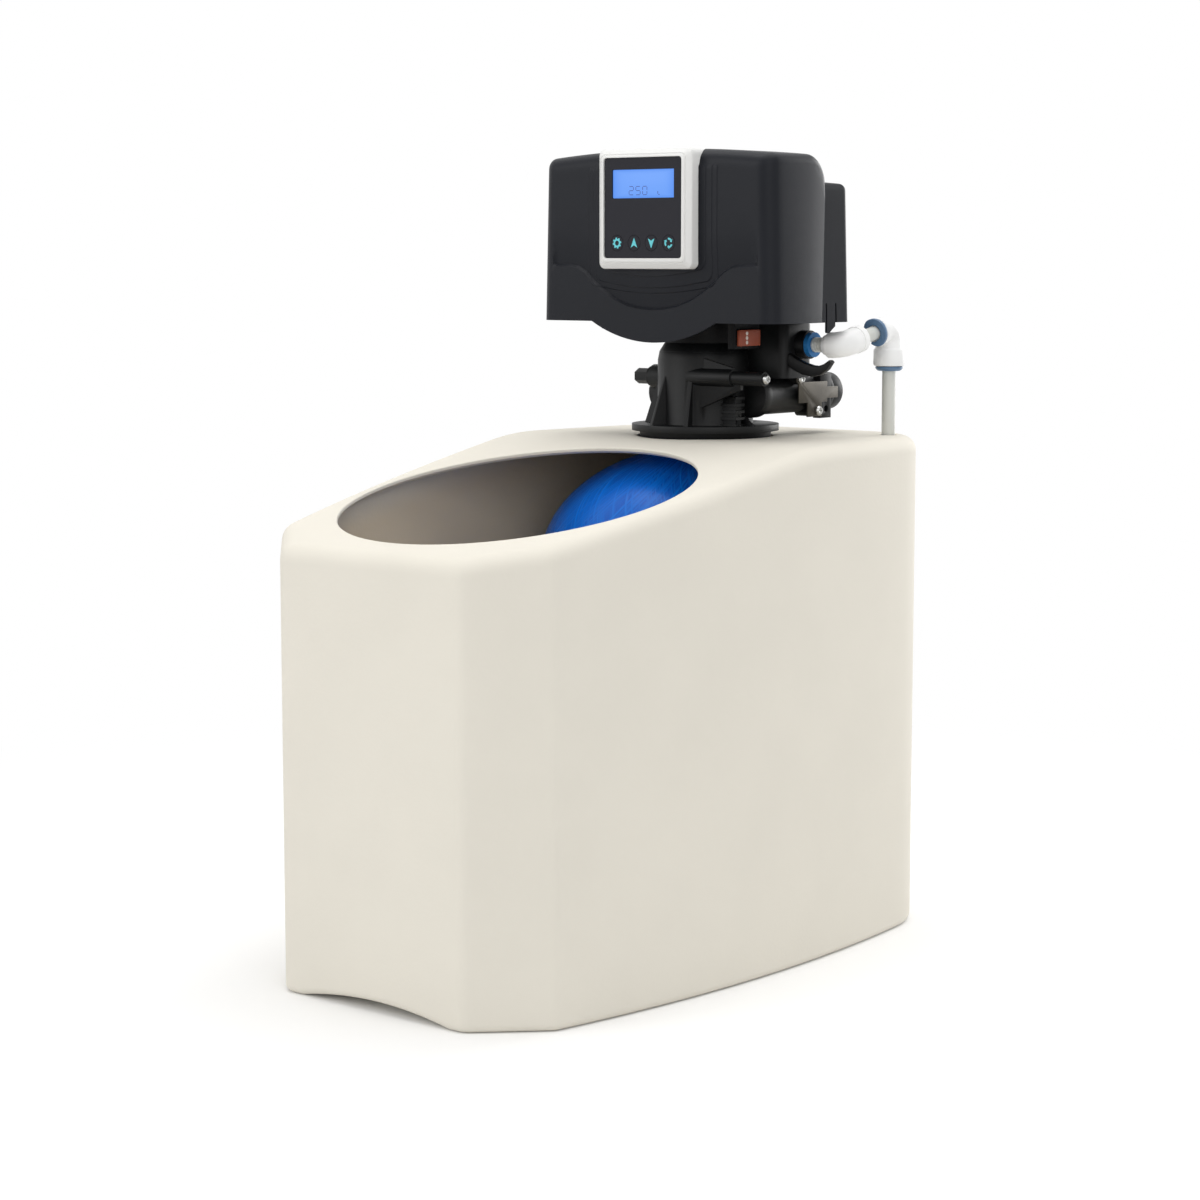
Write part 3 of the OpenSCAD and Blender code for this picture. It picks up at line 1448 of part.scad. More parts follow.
cabinet_shell();
overflow_spout();
overflow_nut();
tank_foot();
tank_winding();
tank_liner();
resin_bed();
riser_tube();
bottom_strainer();
top_strainer();
neck_orings();
valve_body();
stack_spacers();
stack_seals();
piston();
piston_rod();
valve_cap();
rod_seal();
injector_nozzle();
injector_plug();
drain_connector();
drain_washer();
inlet_tail();
outlet_tail();
tail_orings();
tail_clips();
clip_screws();
turbine_cage();
turbine();
head_base();
base_screws();
marker_tag();
motor();
motor_screws();
motor_pinion();
idler_pin();
idler_gear();
main_gear();
front_cover();
rear_cover();
cover_screws();
display_bezel();
display_panel();
lcd_module();
circuit_board();
key_switches();
key_settings();
key_up();
key_down();
key_regenerate();
power_socket();
port_collet();
stem_elbow();
tube_elbow();
locking_clips();
brine_tube();
check_body();
check_cap();
check_ball();
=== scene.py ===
import logging
import math
from collections.abc import Callable, Iterable, Sequence
from dataclasses import dataclass, field
from enum import Enum
from functools import lru_cache
from typing import Any

import bmesh
import bpy
from mathutils import Matrix, Vector
from mathutils.geometry import delaunay_2d_cdt


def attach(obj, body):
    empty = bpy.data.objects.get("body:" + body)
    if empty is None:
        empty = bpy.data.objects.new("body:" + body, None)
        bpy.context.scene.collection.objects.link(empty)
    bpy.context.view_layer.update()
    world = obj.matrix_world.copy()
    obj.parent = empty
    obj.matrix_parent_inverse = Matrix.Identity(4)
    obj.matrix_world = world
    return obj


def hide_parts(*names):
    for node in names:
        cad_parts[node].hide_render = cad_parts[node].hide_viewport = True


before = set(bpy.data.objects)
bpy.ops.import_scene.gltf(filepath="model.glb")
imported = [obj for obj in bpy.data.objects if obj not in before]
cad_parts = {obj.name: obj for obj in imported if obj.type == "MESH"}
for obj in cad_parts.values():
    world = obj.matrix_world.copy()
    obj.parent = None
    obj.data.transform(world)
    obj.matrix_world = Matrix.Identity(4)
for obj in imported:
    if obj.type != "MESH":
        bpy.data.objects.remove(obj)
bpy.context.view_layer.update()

LOG = logging.getLogger("softener")
MM = 0.001
ROOT = "softener"

Flat = tuple[float, float]
Spot = tuple[float, float, float]
Color = tuple[float, float, float, float]
WHITE: Color = (1.0, 1.0, 1.0, 1.0)


def srgb(red: int, green: int, blue: int) -> Color:
    """Turns 8-bit screen values into a linear colour.

    Args:
        red, green, blue: Screen values from 0 to 255.

    Returns:
        The linear colour with full alpha.
    """
    def linear(value: float) -> float:
        """Undoes the screen's curve for one channel."""
        return value / 12.92 if value <= 0.04045 else ((value + 0.055) / 1.055) ** 2.4
    return (linear(red / 255), linear(green / 255), linear(blue / 255), 1.0)


def shaded(color: Color, share: float) -> Color:
    """Makes a colour darker or lighter by a share, up to white."""
    return tuple(min(1.0, part * share) for part in color[:3]) + (1.0,)


# Shader graphs


def operator(operation: str, swapped: bool = False) -> Callable[["Socket", Any], "Socket"]:
    """Makes a method that adds one Math node.

    Args:
        operation: The node's operation.
        swapped: Whether the method's own socket is the second operand.

    Returns:
        The method.
    """
    def method(own: "Socket", other: Any) -> "Socket":
        """Adds the node and hands back its result."""
        pair = (other, own) if swapped else (own, other)
        return own.graph.node("Math", {"operation": operation}, {0: pair[0], 1: pair[1]})
    return method


class Socket:
    """An output of a shader node that takes part in Python expressions."""
    __add__, __radd__ = operator("ADD"), operator("ADD", True)
    __sub__, __rsub__ = operator("SUBTRACT"), operator("SUBTRACT", True)
    __mul__, __rmul__ = operator("MULTIPLY"), operator("MULTIPLY", True)
    __truediv__ = operator("DIVIDE")
    at_least = operator("MAXIMUM")
    angle = operator("ARCTAN2")

    def __init__(self, graph: "ShaderGraph", port: bpy.types.NodeSocket) -> None:
        """Keeps the graph and the port that it stands for."""
        self.graph = graph
        self.port = port

    def fade(self, low: float, high: float) -> "Socket":
        """Rises smoothly from 0 to 1.

        Args:
            low: The value where the rise starts.
            high: The value where it ends.

        Returns:
            The share from 0 to 1.
        """
        return self.graph.node("MapRange", {"interpolation_type": "SMOOTHSTEP"},
                               {"Value": self, "From Min": low, "From Max": high})

    def part(self, axis: str) -> "Socket":
        """Takes one part, X, Y or Z, of a vector."""
        return self.graph.node("SeparateXYZ", {}, {0: self}, "XYZ".index(axis))


class ShaderGraph:
    """Builds the nodes of one material or world."""

    def __init__(self, owner: bpy.types.Material | bpy.types.World) -> None:
        """Empties the owner's node tree."""
        owner.use_nodes = True
        self.owner = owner
        self.tree = owner.node_tree
        self.tree.nodes.clear()

    def node(self, kind: str, settings: dict[str, Any] | None = None,
             sockets: dict[Any, Any] | None = None, output: int = 0) -> Socket | None:
        """Adds any node.

        Args:
            kind: The node's type, without its prefix.
            settings: Properties, set first.
            sockets: Values or links of the inputs, by name or index.
            output: Which output is handed back.

        Returns:
            The output's socket, or None for a node that has none.
        """
        made = self.tree.nodes.new("ShaderNode" + kind)
        for key, value in (settings or {}).items():
            setattr(made, key, value)
        for key, value in (sockets or {}).items():
            port = made.inputs[key]
            if isinstance(value, Socket):
                self.tree.links.new(value.port, port)
            else:
                port.default_value = value
        return Socket(self, made.outputs[output]) if len(made.outputs) else None

    def place(self) -> Socket:
        """Gives the point on the piece, in metres in the frame's axes."""
        return self.node("TexCoord", {}, {}, 3)

    def noise(self, scale: float, detail: float = 2.0, vector: Socket | None = None) -> Socket:
        """Gives smooth noise between 0 and 1.

        Args:
            scale: Features in a metre.
            detail: Octaves of finer noise.
            vector: Where to look it up, or None for the point on the piece.

        Returns:
            The noise's value.
        """
        return self.node("TexNoise", {}, {"Vector": vector or self.place(), "Scale": scale, "Detail": detail})

    def mix(self, share: Any, first: Any, second: Any) -> Socket:
        """Mixes two colours.

        Args:
            share: How much of the second.
            first: A colour or its socket.
            second: A colour or its socket.

        Returns:
            The mixed colour.
        """
        return self.node("Mix", {"data_type": "RGBA"}, {0: share, 6: first, 7: second}, 2)

    def stretch(self, vector: Socket, by: Spot) -> Socket:
        """Multiplies a vector by another, part by part."""
        return self.node("VectorMath", {"operation": "MULTIPLY"}, {0: vector, 1: by})

    def bump(self, height: Socket, depth: float) -> Socket:
        """Turns a height from 0 to 1, where 1 stands for a depth in metres, into a normal."""
        return self.node("Bump", {}, {"Height": height, "Distance": depth})

    def surface(self, sockets: dict[str, Any]) -> bpy.types.Material:
        """Closes a material with a Principled shader that has these inputs."""
        shader = self.node("BsdfPrincipled", {}, sockets)
        self.node("OutputMaterial", {}, {"Surface": shader})
        return self.owner


# Finishes


class Grain(Enum):
    """How a moulding's surface feels: the noise's scale in a metre and its depth in metres."""
    GLOSSY = (300.0, 0.00001)
    SATIN = (900.0, 0.00003)
    SPARK = (2600.0, 0.00006)
    ROTO = (420.0, 0.00010)


@dataclass(frozen=True)
class Moulding:
    """A moulded plastic with a fine surface grain and slight mottling."""
    name: str
    color: Color
    roughness: float = 0.45
    grain: Grain = Grain.SATIN
    mottle: float = 0.06
    specular: float = 0.5

    def tone(self, graph: ShaderGraph, outside: Socket) -> Socket:
        """Gives the surface's colour, here the same on every side."""
        return outside

    def material(self) -> bpy.types.Material:
        """Builds the material."""
        graph = ShaderGraph(bpy.data.materials.new(self.name))
        scale, depth = self.grain.value
        grain = graph.noise(scale, 3.0)
        cloud = graph.noise(14.0, 4.0)
        dark, light = shaded(self.color, 1 - self.mottle), shaded(self.color, 1 + self.mottle)
        return graph.surface({
            "Base Color": self.tone(graph, graph.mix(cloud.fade(0.3, 0.7), dark, light)),
            "Roughness": self.roughness + 0.10 * (cloud - 0.5) + 0.08 * (grain - 0.5),
            "Specular IOR Level": self.specular,
            "Normal": graph.bump(grain, depth)})


@dataclass(frozen=True)
class RotoShell(Moulding):
    """A pale moulded shell whose inside, lit only through its walls and mouth, gets a painted warm tint that
    stands for that bounced and let-through light.
    """
    painted_bounce_tint: Color = WHITE
    middle: Spot = (0.0, 0.0, 0.17)
    brim: Flat = (0.335, 0.2)

    def tone(self, graph: ShaderGraph, outside: Socket) -> Socket:
        """Paints the warm bounce-light tint on faces that look towards the shell's middle."""
        point = graph.place()
        away = graph.node("VectorMath", {"operation": "SUBTRACT"}, {0: point, 1: self.middle})
        normal = graph.node("NewGeometry", {}, {}, 1)
        facing = graph.node("VectorMath", {"operation": "DOT_PRODUCT"}, {0: normal, 1: away}, 1)
        depth = self.brim[0] + point.part("Y") * self.brim[1] - point.part("Z")
        # painted bounce light: inner faces below the brim take the warm tint
        share = (1 - facing.fade(-0.012, -0.002)) * depth.fade(0.004, 0.03)
        return graph.mix(share, outside, self.painted_bounce_tint)


@dataclass(frozen=True)
class WoundFibre:
    """Glass fibre wound in crossing helices round an upright axis and sealed with coloured resin."""
    name: str
    color: Color
    deep: Color
    axis_y: float
    radius: float
    slant: float = 52.0
    run: float = 11.0
    strands: float = 380.0

    def streaks(self, graph: ShaderGraph, way: int) -> Socket:
        """Gives the fine strands of one of the two helices, from 0 to 1."""
        point = graph.place()
        arc_l = (point.part("Y") - self.axis_y).angle(point.part("X")) * self.radius
        cos, sin = math.cos(math.radians(self.slant)), way * math.sin(math.radians(self.slant))
        along = arc_l * cos + point.part("Z") * sin
        across = point.part("Z") * cos - arc_l * sin
        spot = graph.node("CombineXYZ", {}, {0: along * self.run, 1: across * self.strands, 2: 3.0 * way})
        return graph.noise(1.0, 3.0, spot)

    def material(self) -> bpy.types.Material:
        """Builds the material."""
        graph = ShaderGraph(bpy.data.materials.new(self.name))
        weave = self.streaks(graph, 1).at_least(self.streaks(graph, -1))
        return graph.surface({
            "Base Color": graph.mix(weave.fade(0.4, 0.75), self.deep, self.color),
            "Roughness": 0.46 - 0.2 * weave,
            "Specular IOR Level": 0.22,
            "Coat Weight": 0.1,
            "Coat Roughness": 0.2,
            "Normal": graph.bump(weave, 0.0007)})


@dataclass(frozen=True)
class Metal:
    """A metal with fine brush marks along one direction."""
    name: str
    color: Color
    roughness: float = 0.3
    brush: Spot = (1.0, 1.0, 30.0)
    stain: float = 0.1

    def material(self) -> bpy.types.Material:
        """Builds the material."""
        graph = ShaderGraph(bpy.data.materials.new(self.name))
        marks = graph.noise(150.0, 4.0, graph.stretch(graph.place(), self.brush))
        cloud = graph.noise(80.0, 4.0)
        dull = shaded(self.color, 1 - self.stain)
        return graph.surface({
            "Base Color": graph.mix(cloud.fade(0.35, 0.65), dull, self.color),
            "Metallic": 1.0,
            "Roughness": self.roughness + 0.18 * (marks - 0.5),
            "Normal": graph.bump(marks, 0.00003)})


@dataclass(frozen=True)
class BeadBed:
    """Small round resin beads, packed, with painted shade darkening each bead towards its rim, in the gaps
    between beads.
    """
    name: str
    color: Color

    def material(self) -> bpy.types.Material:
        """Builds the material."""
        graph = ShaderGraph(bpy.data.materials.new(self.name))
        beads = graph.node("TexVoronoi", {}, {"Vector": graph.place(), "Scale": 1100.0})
        return graph.surface({
            # painted shade: colour darkens to half towards each bead's rim, where the gaps between beads lie
            "Base Color": graph.mix(beads.fade(0.1, 0.7), self.color, shaded(self.color, 0.5)),
            "Roughness": 0.35,
            "Normal": graph.bump(1 - beads, 0.0004)})


@dataclass(frozen=True)
class LitGlass:
    """A backlit display that is brightest in its middle."""
    name: str
    color: Color
    edge: Color
    middle: Flat
    half: Flat
    strength: float = 0.95

    def material(self) -> bpy.types.Material:
        """Builds the material."""
        graph = ShaderGraph(bpy.data.materials.new(self.name))
        point = graph.place()
        across = (point.part("X") - self.middle[0]) / self.half[0]
        upward = (point.part("Z") - self.middle[1]) / self.half[1]
        spread = (across * across).at_least(upward * upward) + 0.15 * graph.noise(90.0)
        glow = graph.mix(spread.fade(0.45, 1.25), self.color, self.edge)
        return graph.surface({
            "Base Color": (0.02, 0.03, 0.06, 1.0),
            "Roughness": 0.3,
            "Specular IOR Level": 0.15,
            "Emission Color": glow,
            "Emission Strength": self.strength})


@lru_cache(maxsize=None)
def made(finish: Any) -> bpy.types.Material:
    """Builds a finish's material once."""
    return finish.material()


# CREAM's last colour is painted bounce light: the warmer tint laid on the cabinet's inner faces.
CREAM = RotoShell("cream_moulding", srgb(234, 229, 217), 0.66, Grain.ROTO, 0.012, 0.15, srgb(230, 216, 192))
CHARCOAL = Moulding("charcoal_moulding", srgb(24, 26, 32), 0.4, Grain.SPARK, 0.05, 0.17)
VALVE_BLACK = Moulding("valve_black", srgb(15, 16, 17), 0.45, Grain.SATIN, 0.12, 0.26)
# painted shade: a darker copy of the black plastic for the base, which sits in the shade under the head's
# covers
SHADED_BASE_BLACK = Moulding("base_black_shaded", srgb(12, 12, 14), 0.5, Grain.SATIN, 0.10, 0.16)
BEZEL_GREY = Moulding("bezel_grey", srgb(236, 236, 234), 0.4, Grain.SATIN, 0.012, 0.4)
PANEL_BLACK = Moulding("panel_black", srgb(40, 40, 46), 0.5, Grain.GLOSSY, 0.03, 0.14)
FITTING_WHITE = Moulding("fitting_white", srgb(250, 250, 249), 0.35, Grain.GLOSSY, 0.01, 0.5)
CLIP_BLUE = Moulding("clip_blue", srgb(38, 122, 190), 0.38, Grain.GLOSSY, 0.05, 0.5)
RING_BLUE = Moulding("ring_blue", srgb(86, 116, 148), 0.38, Grain.GLOSSY, 0.05, 0.5)
TUBE_GREY = Moulding("tube_grey", srgb(216, 217, 211), 0.42, Grain.GLOSSY, 0.02, 0.5)
TAG_BROWN = Moulding("tag_brown", srgb(150, 70, 44), 0.5, Grain.SATIN, 0.08)
TAG_DOT = Moulding("tag_dot", srgb(226, 214, 205), 0.5)
LINER = Moulding("liner_plastic", srgb(228, 224, 210), 0.5)
WHITE_INNER = Moulding("white_inner", srgb(232, 232, 228), 0.45)
# painted shade: a darker, duller copy of the charcoal for the rear cover and its tongues, holding down the
# rear lamp's light on them
SHADED_REAR_CHARCOAL = Moulding("charcoal_rear_shaded", srgb(21, 23, 28), 0.5, Grain.SPARK, 0.05, 0.11)
RUBBER = Moulding("seal_rubber", srgb(30, 30, 31), 0.75, Grain.SPARK, 0.05, 0.25)
PISTON = Moulding("piston_plastic", srgb(205, 198, 176), 0.35)
TURBINE = Moulding("turbine_plastic", srgb(120, 170, 215), 0.4)
GEAR = Moulding("gear_plastic", srgb(236, 234, 226), 0.4)
BOARD = Moulding("board_green", srgb(28, 92, 52), 0.4, Grain.SATIN, 0.2)
SWITCH = Moulding("switch_grey", srgb(96, 98, 100), 0.5)
BALL = Moulding("ball_orange", srgb(222, 120, 44), 0.35)
ICON = Moulding("icon_cyan", srgb(96, 206, 216), 0.4)
DIGIT = Moulding("digit_blue", srgb(60, 86, 170), 0.4)
STEEL = Metal("bright_steel", srgb(205, 205, 203), 0.26)
CLIP_STEEL = Metal("dull_clip_steel", srgb(92, 88, 81), 0.5, (1.0, 30.0, 1.0), 0.25)
MOTOR_STEEL = Metal("motor_steel", srgb(180, 182, 184), 0.35)
BEADS = BeadBed("resin_beads", srgb(190, 130, 50))


# Mesh drafting


def arc(middle: Flat, radius: float, start: float, end: float, steps: int) -> list[Flat]:
    """Points along an arc.

    Args:
        middle: The arc's centre.
        radius: Its radius.
        start, end: First and last angle, in degrees.
        steps: Number of chords.

    Returns:
        The points, both ends included.
    """
    turns = [math.radians(start + (end - start) * i / steps) for i in range(steps + 1)]
    return [(middle[0] + radius * math.cos(t), middle[1] + radius * math.sin(t)) for t in turns]


def between(first: Flat, last: Flat, steps: int) -> list[Flat]:
    """Points inside a line, without its ends."""
    return [(first[0] + (last[0] - first[0]) * i / steps, first[1] + (last[1] - first[1]) * i / steps)
            for i in range(1, steps)]


def mirrored(half: Sequence[Flat]) -> list[Flat]:
    """A line's points reflected in the upright axis, last first."""
    return [(-x, y) for x, y in reversed(half)]


def quarter(steps: int) -> list[float]:
    """Angles of a quarter turn, both ends included."""
    return [math.radians(90 * i / steps) for i in range(steps + 1)]


def full_turn(steps: int) -> list[float]:
    """Angles of a full turn, its end left out."""
    return [2 * math.pi * i / steps for i in range(steps)]


def inside(point: Flat, loops: Iterable[Sequence[Flat]]) -> bool:
    """Tells whether a point is inside an odd number of loops."""
    odd = False
    x, y = point
    for loop in loops:
        for (x0, y0), (x1, y1) in zip(loop, [*loop[1:], loop[0]]):
            if (y0 > y) != (y1 > y) and x < (x1 - x0) * (y - y0) / (y1 - y0) + x0:
                odd = not odd
    return odd


def rounded_box(half_w: float, half_h: float, radius: float, steps: int = 6) -> list[Flat]:
    """A rounded rectangle round the origin, anticlockwise.

    Args:
        half_w, half_h: Half width and half height.
        radius: Corner radius.
        steps: Chords in each corner.

    Returns:
        The outline's points.
    """
    corners = [(1, 1, 0), (-1, 1, 90), (-1, -1, 180), (1, -1, 270)]
    return [p for sx, sy, turn in corners
            for p in arc((sx * (half_w - radius), sy * (half_h - radius)), radius, turn, turn + 90, steps)]


@dataclass(frozen=True)
class Piece:
    """What a new piece is called, looks like, rides on and stands for."""
    name: str
    finish: Any
    slot: str
    body: str = ROOT
    stands_for: Sequence[str] = ()
    crease: float = 35.0

    def write(self, work: bmesh.types.BMesh) -> bpy.types.Object:
        """Writes a worked mesh, which is freed, into an object that rides on its body.

        Args:
            work: The worked mesh.

        Returns:
            The object.
        """
        mesh = bpy.data.meshes.new(self.name)
        work.to_mesh(mesh)
        work.free()
        mesh.polygons.foreach_set("use_smooth", [True] * len(mesh.polygons))
        mesh.set_sharp_from_angle(angle=math.radians(self.crease))
        mesh.materials.append(made(self.finish))
        thing = bpy.data.objects.new(self.name, mesh)
        bpy.context.scene.collection.objects.link(thing)
        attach(thing, self.body)
        if self.stands_for:
            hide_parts(*self.stands_for)
        LOG.info("piece %s: %d faces", self.name, len(mesh.polygons))
        return thing


@dataclass
class Draft:
    """Vertices and faces of one piece, in millimetres in the frame's axes."""
    points: list[Vector] = field(default_factory=list)
    faces: list[tuple[int, ...]] = field(default_factory=list)

    def ring(self, points: Iterable[Sequence[float]]) -> list[int]:
        """Adds points and hands back their numbers."""
        start = len(self.points)
        self.points.extend(Vector(p) for p in points)
        return list(range(start, len(self.points)))

    def bridge(self, first: Sequence[int], second: Sequence[int], closed: bool = True) -> None:
        """Joins two rings of equal length with quads.

        Args:
            first, second: The rings' point numbers.
            closed: Whether the last point joins the first.
        """
        count = len(first)
        for i in range(count if closed else count - 1):
            j = (i + 1) % count
            self.faces.append((first[i], first[j], second[j], second[i]))

    def loft(self, loops: Sequence[Iterable[Sequence[float]]], closed: bool = True,
             caps: bool = False, joined: bool = False) -> None:
        """Joins a row of loops into a skin.

        Args:
            loops: Loops of equal length.
            closed: Whether each loop is closed.
            caps: Whether the first and last loop are filled.
            joined: Whether the last loop joins the first.
        """
        rings = [self.ring(loop) for loop in loops]
        for first, second in zip(rings, rings[1:]):
            self.bridge(first, second, closed)
        if joined:
            self.bridge(rings[-1], rings[0], closed)
        if caps:
            self.faces += [tuple(reversed(rings[0])), tuple(rings[-1])]

    def lathe(self, profile: Sequence[Flat], place: Matrix, steps: int = 64,
              relief: Callable[[float, float], float] | None = None) -> None:
        """Turns a profile round the placing's Z axis.

        Args:
            profile: Radius and height pairs; a radius of 0 closes an end.
            place: Where the axis lies.
            steps: Facets round.
            relief: Added to the radius, from the angle and the height.
        """
        turns = full_turn(steps)
        rings = []
        for radius, height in profile:
            lift = relief if relief and radius else (lambda turn, level: 0.0)
            rings.append(self.ring(
                place @ Vector(((radius + lift(t, height)) * math.cos(t),
                                (radius + lift(t, height)) * math.sin(t), height)) for t in turns))
        for first, second in zip(rings, rings[1:]):
            self.bridge(first, second)
        self.faces += [tuple(reversed(rings[0])), tuple(rings[-1])]

    def tube(self, path: Sequence[Sequence[float]], radii: float | Sequence[float], steps: int = 40) -> None:
        """Sweeps a circle along a path and closes its ends.

        Args:
            path: Points of the path.
            radii: One radius, or one for each point.
            steps: Facets round.
        """
        points = [Vector(p) for p in path]
        sizes = [radii] * len(points) if isinstance(radii, (int, float)) else list(radii)
        loops = []
        side = None
        for i, point in enumerate(points):
            ahead = (points[min(i + 1, len(points) - 1)] - points[max(i - 1, 0)]).normalized()
            if side is None:
                side = ahead.orthogonal().normalized()
            side = (side - ahead * side.dot(ahead)).normalized()
            other = ahead.cross(side)
            loops.append([point + sizes[i] * (math.cos(t) * side + math.sin(t) * other)
                          for t in full_turn(steps)])
        self.loft(loops, caps=True)

    def prism(self, outline: Sequence[Flat], place: Matrix, depth: float, edge: float = 0.0) -> None:
        """Extrudes an outline along the placing's Z axis, with an optional slanted top edge.

        Args:
            outline: The outline, anticlockwise.
            place: Where it lies.
            depth: How far it reaches.
            edge: How much the top is drawn in and rounded off.
        """
        middle = Vector((sum(p[0] for p in outline), sum(p[1] for p in outline))) / len(outline)
        def level(height: float, inset: float) -> list[Vector]:
            """The outline at a height, drawn in by an inset."""
            made_loop = []
            for p in outline:
                away = Vector(p) - middle
                reach = max(away.length, 1e-6)
                spot = middle + away * (reach - inset) / reach
                made_loop.append(place @ Vector((spot.x, spot.y, height)))
            return made_loop
        loops = [level(0.0, 0.0), level(depth, 0.0)]
        if edge:
            loops = [level(0.0, 0.0), level(depth - edge, 0.0), level(depth - edge * 0.3, edge * 0.3),
                     level(depth, edge)]
        self.loft(loops, caps=True)

    def sheet(self, loops: Sequence[Sequence[Flat]], lift: Callable[[float, float], Sequence[float]],
              extra: Sequence[Flat] = (), lines: Sequence[Sequence[Flat]] = ()) -> None:
        """Fills loops with triangles, holes left out, and lifts each point into the frame.

        Args:
            loops: The outer loop and its holes.
            lift: Gives the point in the frame for a flat point.
            extra: More flat points that the triangles pass through.
            lines: Open lines that the triangles keep to.
        """
        flats: list[Vector] = []
        edges: list[tuple[int, int]] = []
        for loop in loops:
            start = len(flats)
            flats.extend(Vector(p) for p in loop)
            edges.extend((start + i, start + (i + 1) % len(loop)) for i in range(len(loop)))
        for line in lines:
            start = len(flats)
            flats.extend(Vector(p) for p in line)
            edges.extend((start + i, start + i + 1) for i in range(len(line) - 1))
        flats.extend(Vector(p) for p in extra)
        spots, _, triangles, *_ = delaunay_2d_cdt(flats, edges, [], 0, 1e-5)
        numbers = self.ring(lift(p.x, p.y) for p in spots)
        for triangle in triangles:
            middle = sum((spots[i] for i in triangle), Vector((0.0, 0.0))) / len(triangle)
            if inside((middle.x, middle.y), loops):
                self.faces.append(tuple(numbers[i] for i in triangle))

    def piece(self, name: str, finish: Any, slot: str, body: str = ROOT, stands_for: Sequence[str] = (),
              crease: float = 35.0, skin: float = 0.0) -> bpy.types.Object:
        """Makes the object, welds it and dresses it.

        Args:
            name: The piece's name.
            finish: Its finish.
            slot: The record's material slot; passed on to the piece but not used.
            body: The body that it rides on.
            stands_for: CAD nodes that it replaces.
            crease: Angle above which an edge stays sharp, in degrees.
            skin: Thickness that an open skin gets, inward.

        Returns:
            The object.
        """
        work = bmesh.new()
        for point in self.points:
            work.verts.new(point * MM)
        work.verts.ensure_lookup_table()
        for face in self.faces:
            if len(set(face)) > 2:
                try:
                    work.faces.new([work.verts[i] for i in face])
                except ValueError:
                    LOG.debug("%s repeats a face", name)
        bmesh.ops.remove_doubles(work, verts=work.verts[:], dist=2e-6)
        bmesh.ops.dissolve_degenerate(work, edges=work.edges[:], dist=1e-6)
        bmesh.ops.recalc_face_normals(work, faces=work.faces[:])
        if skin:
            bmesh.ops.solidify(work, geom=work.faces[:], thickness=skin * MM)
            bmesh.ops.recalc_face_normals(work, faces=work.faces[:])
        return Piece(name, finish, slot, body, stands_for, crease).write(work)


def softened(node: str, finish: Any, slot: str, edge: float) -> bpy.types.Object:
    """Copies a CAD node of the main body, rounds its sharp edges and lets the copy stand for it.

    Args:
        node: The CAD node.
        finish: Its finish.
        slot: The record's material slot; passed on to the piece but not used.
        edge: Width of the rounded edges, in millimetres.

    Returns:
        The new piece.
    """
    work = bmesh.new()
    work.from_mesh(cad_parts[node].data)
    bmesh.ops.remove_doubles(work, verts=work.verts[:], dist=2e-6)
    bmesh.ops.dissolve_limit(work, angle_limit=math.radians(0.5), verts=work.verts[:], edges=work.edges[:])
    piece = Piece(node + "_moulded", finish, slot, stands_for=[node])
    limit = math.radians(piece.crease)
    sharp = [e for e in work.edges if len(e.link_faces) == 2 and e.calc_face_angle(0.0) > limit]
    bmesh.ops.bevel(work, geom=sharp, offset=edge * MM, offset_type="OFFSET", segments=2, profile=0.5,
                    affect="EDGES", clamp_overlap=True)
    return piece.write(work)


def dress(finish: Any, *nodes: str) -> None:
    """Gives CAD nodes that stay a finish."""
    for node in nodes:
        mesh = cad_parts[node].data
        mesh.materials.clear()
        mesh.materials.append(made(finish))
        LOG.info("node %s: %s", node, finish.name)


# Sub-assemblies


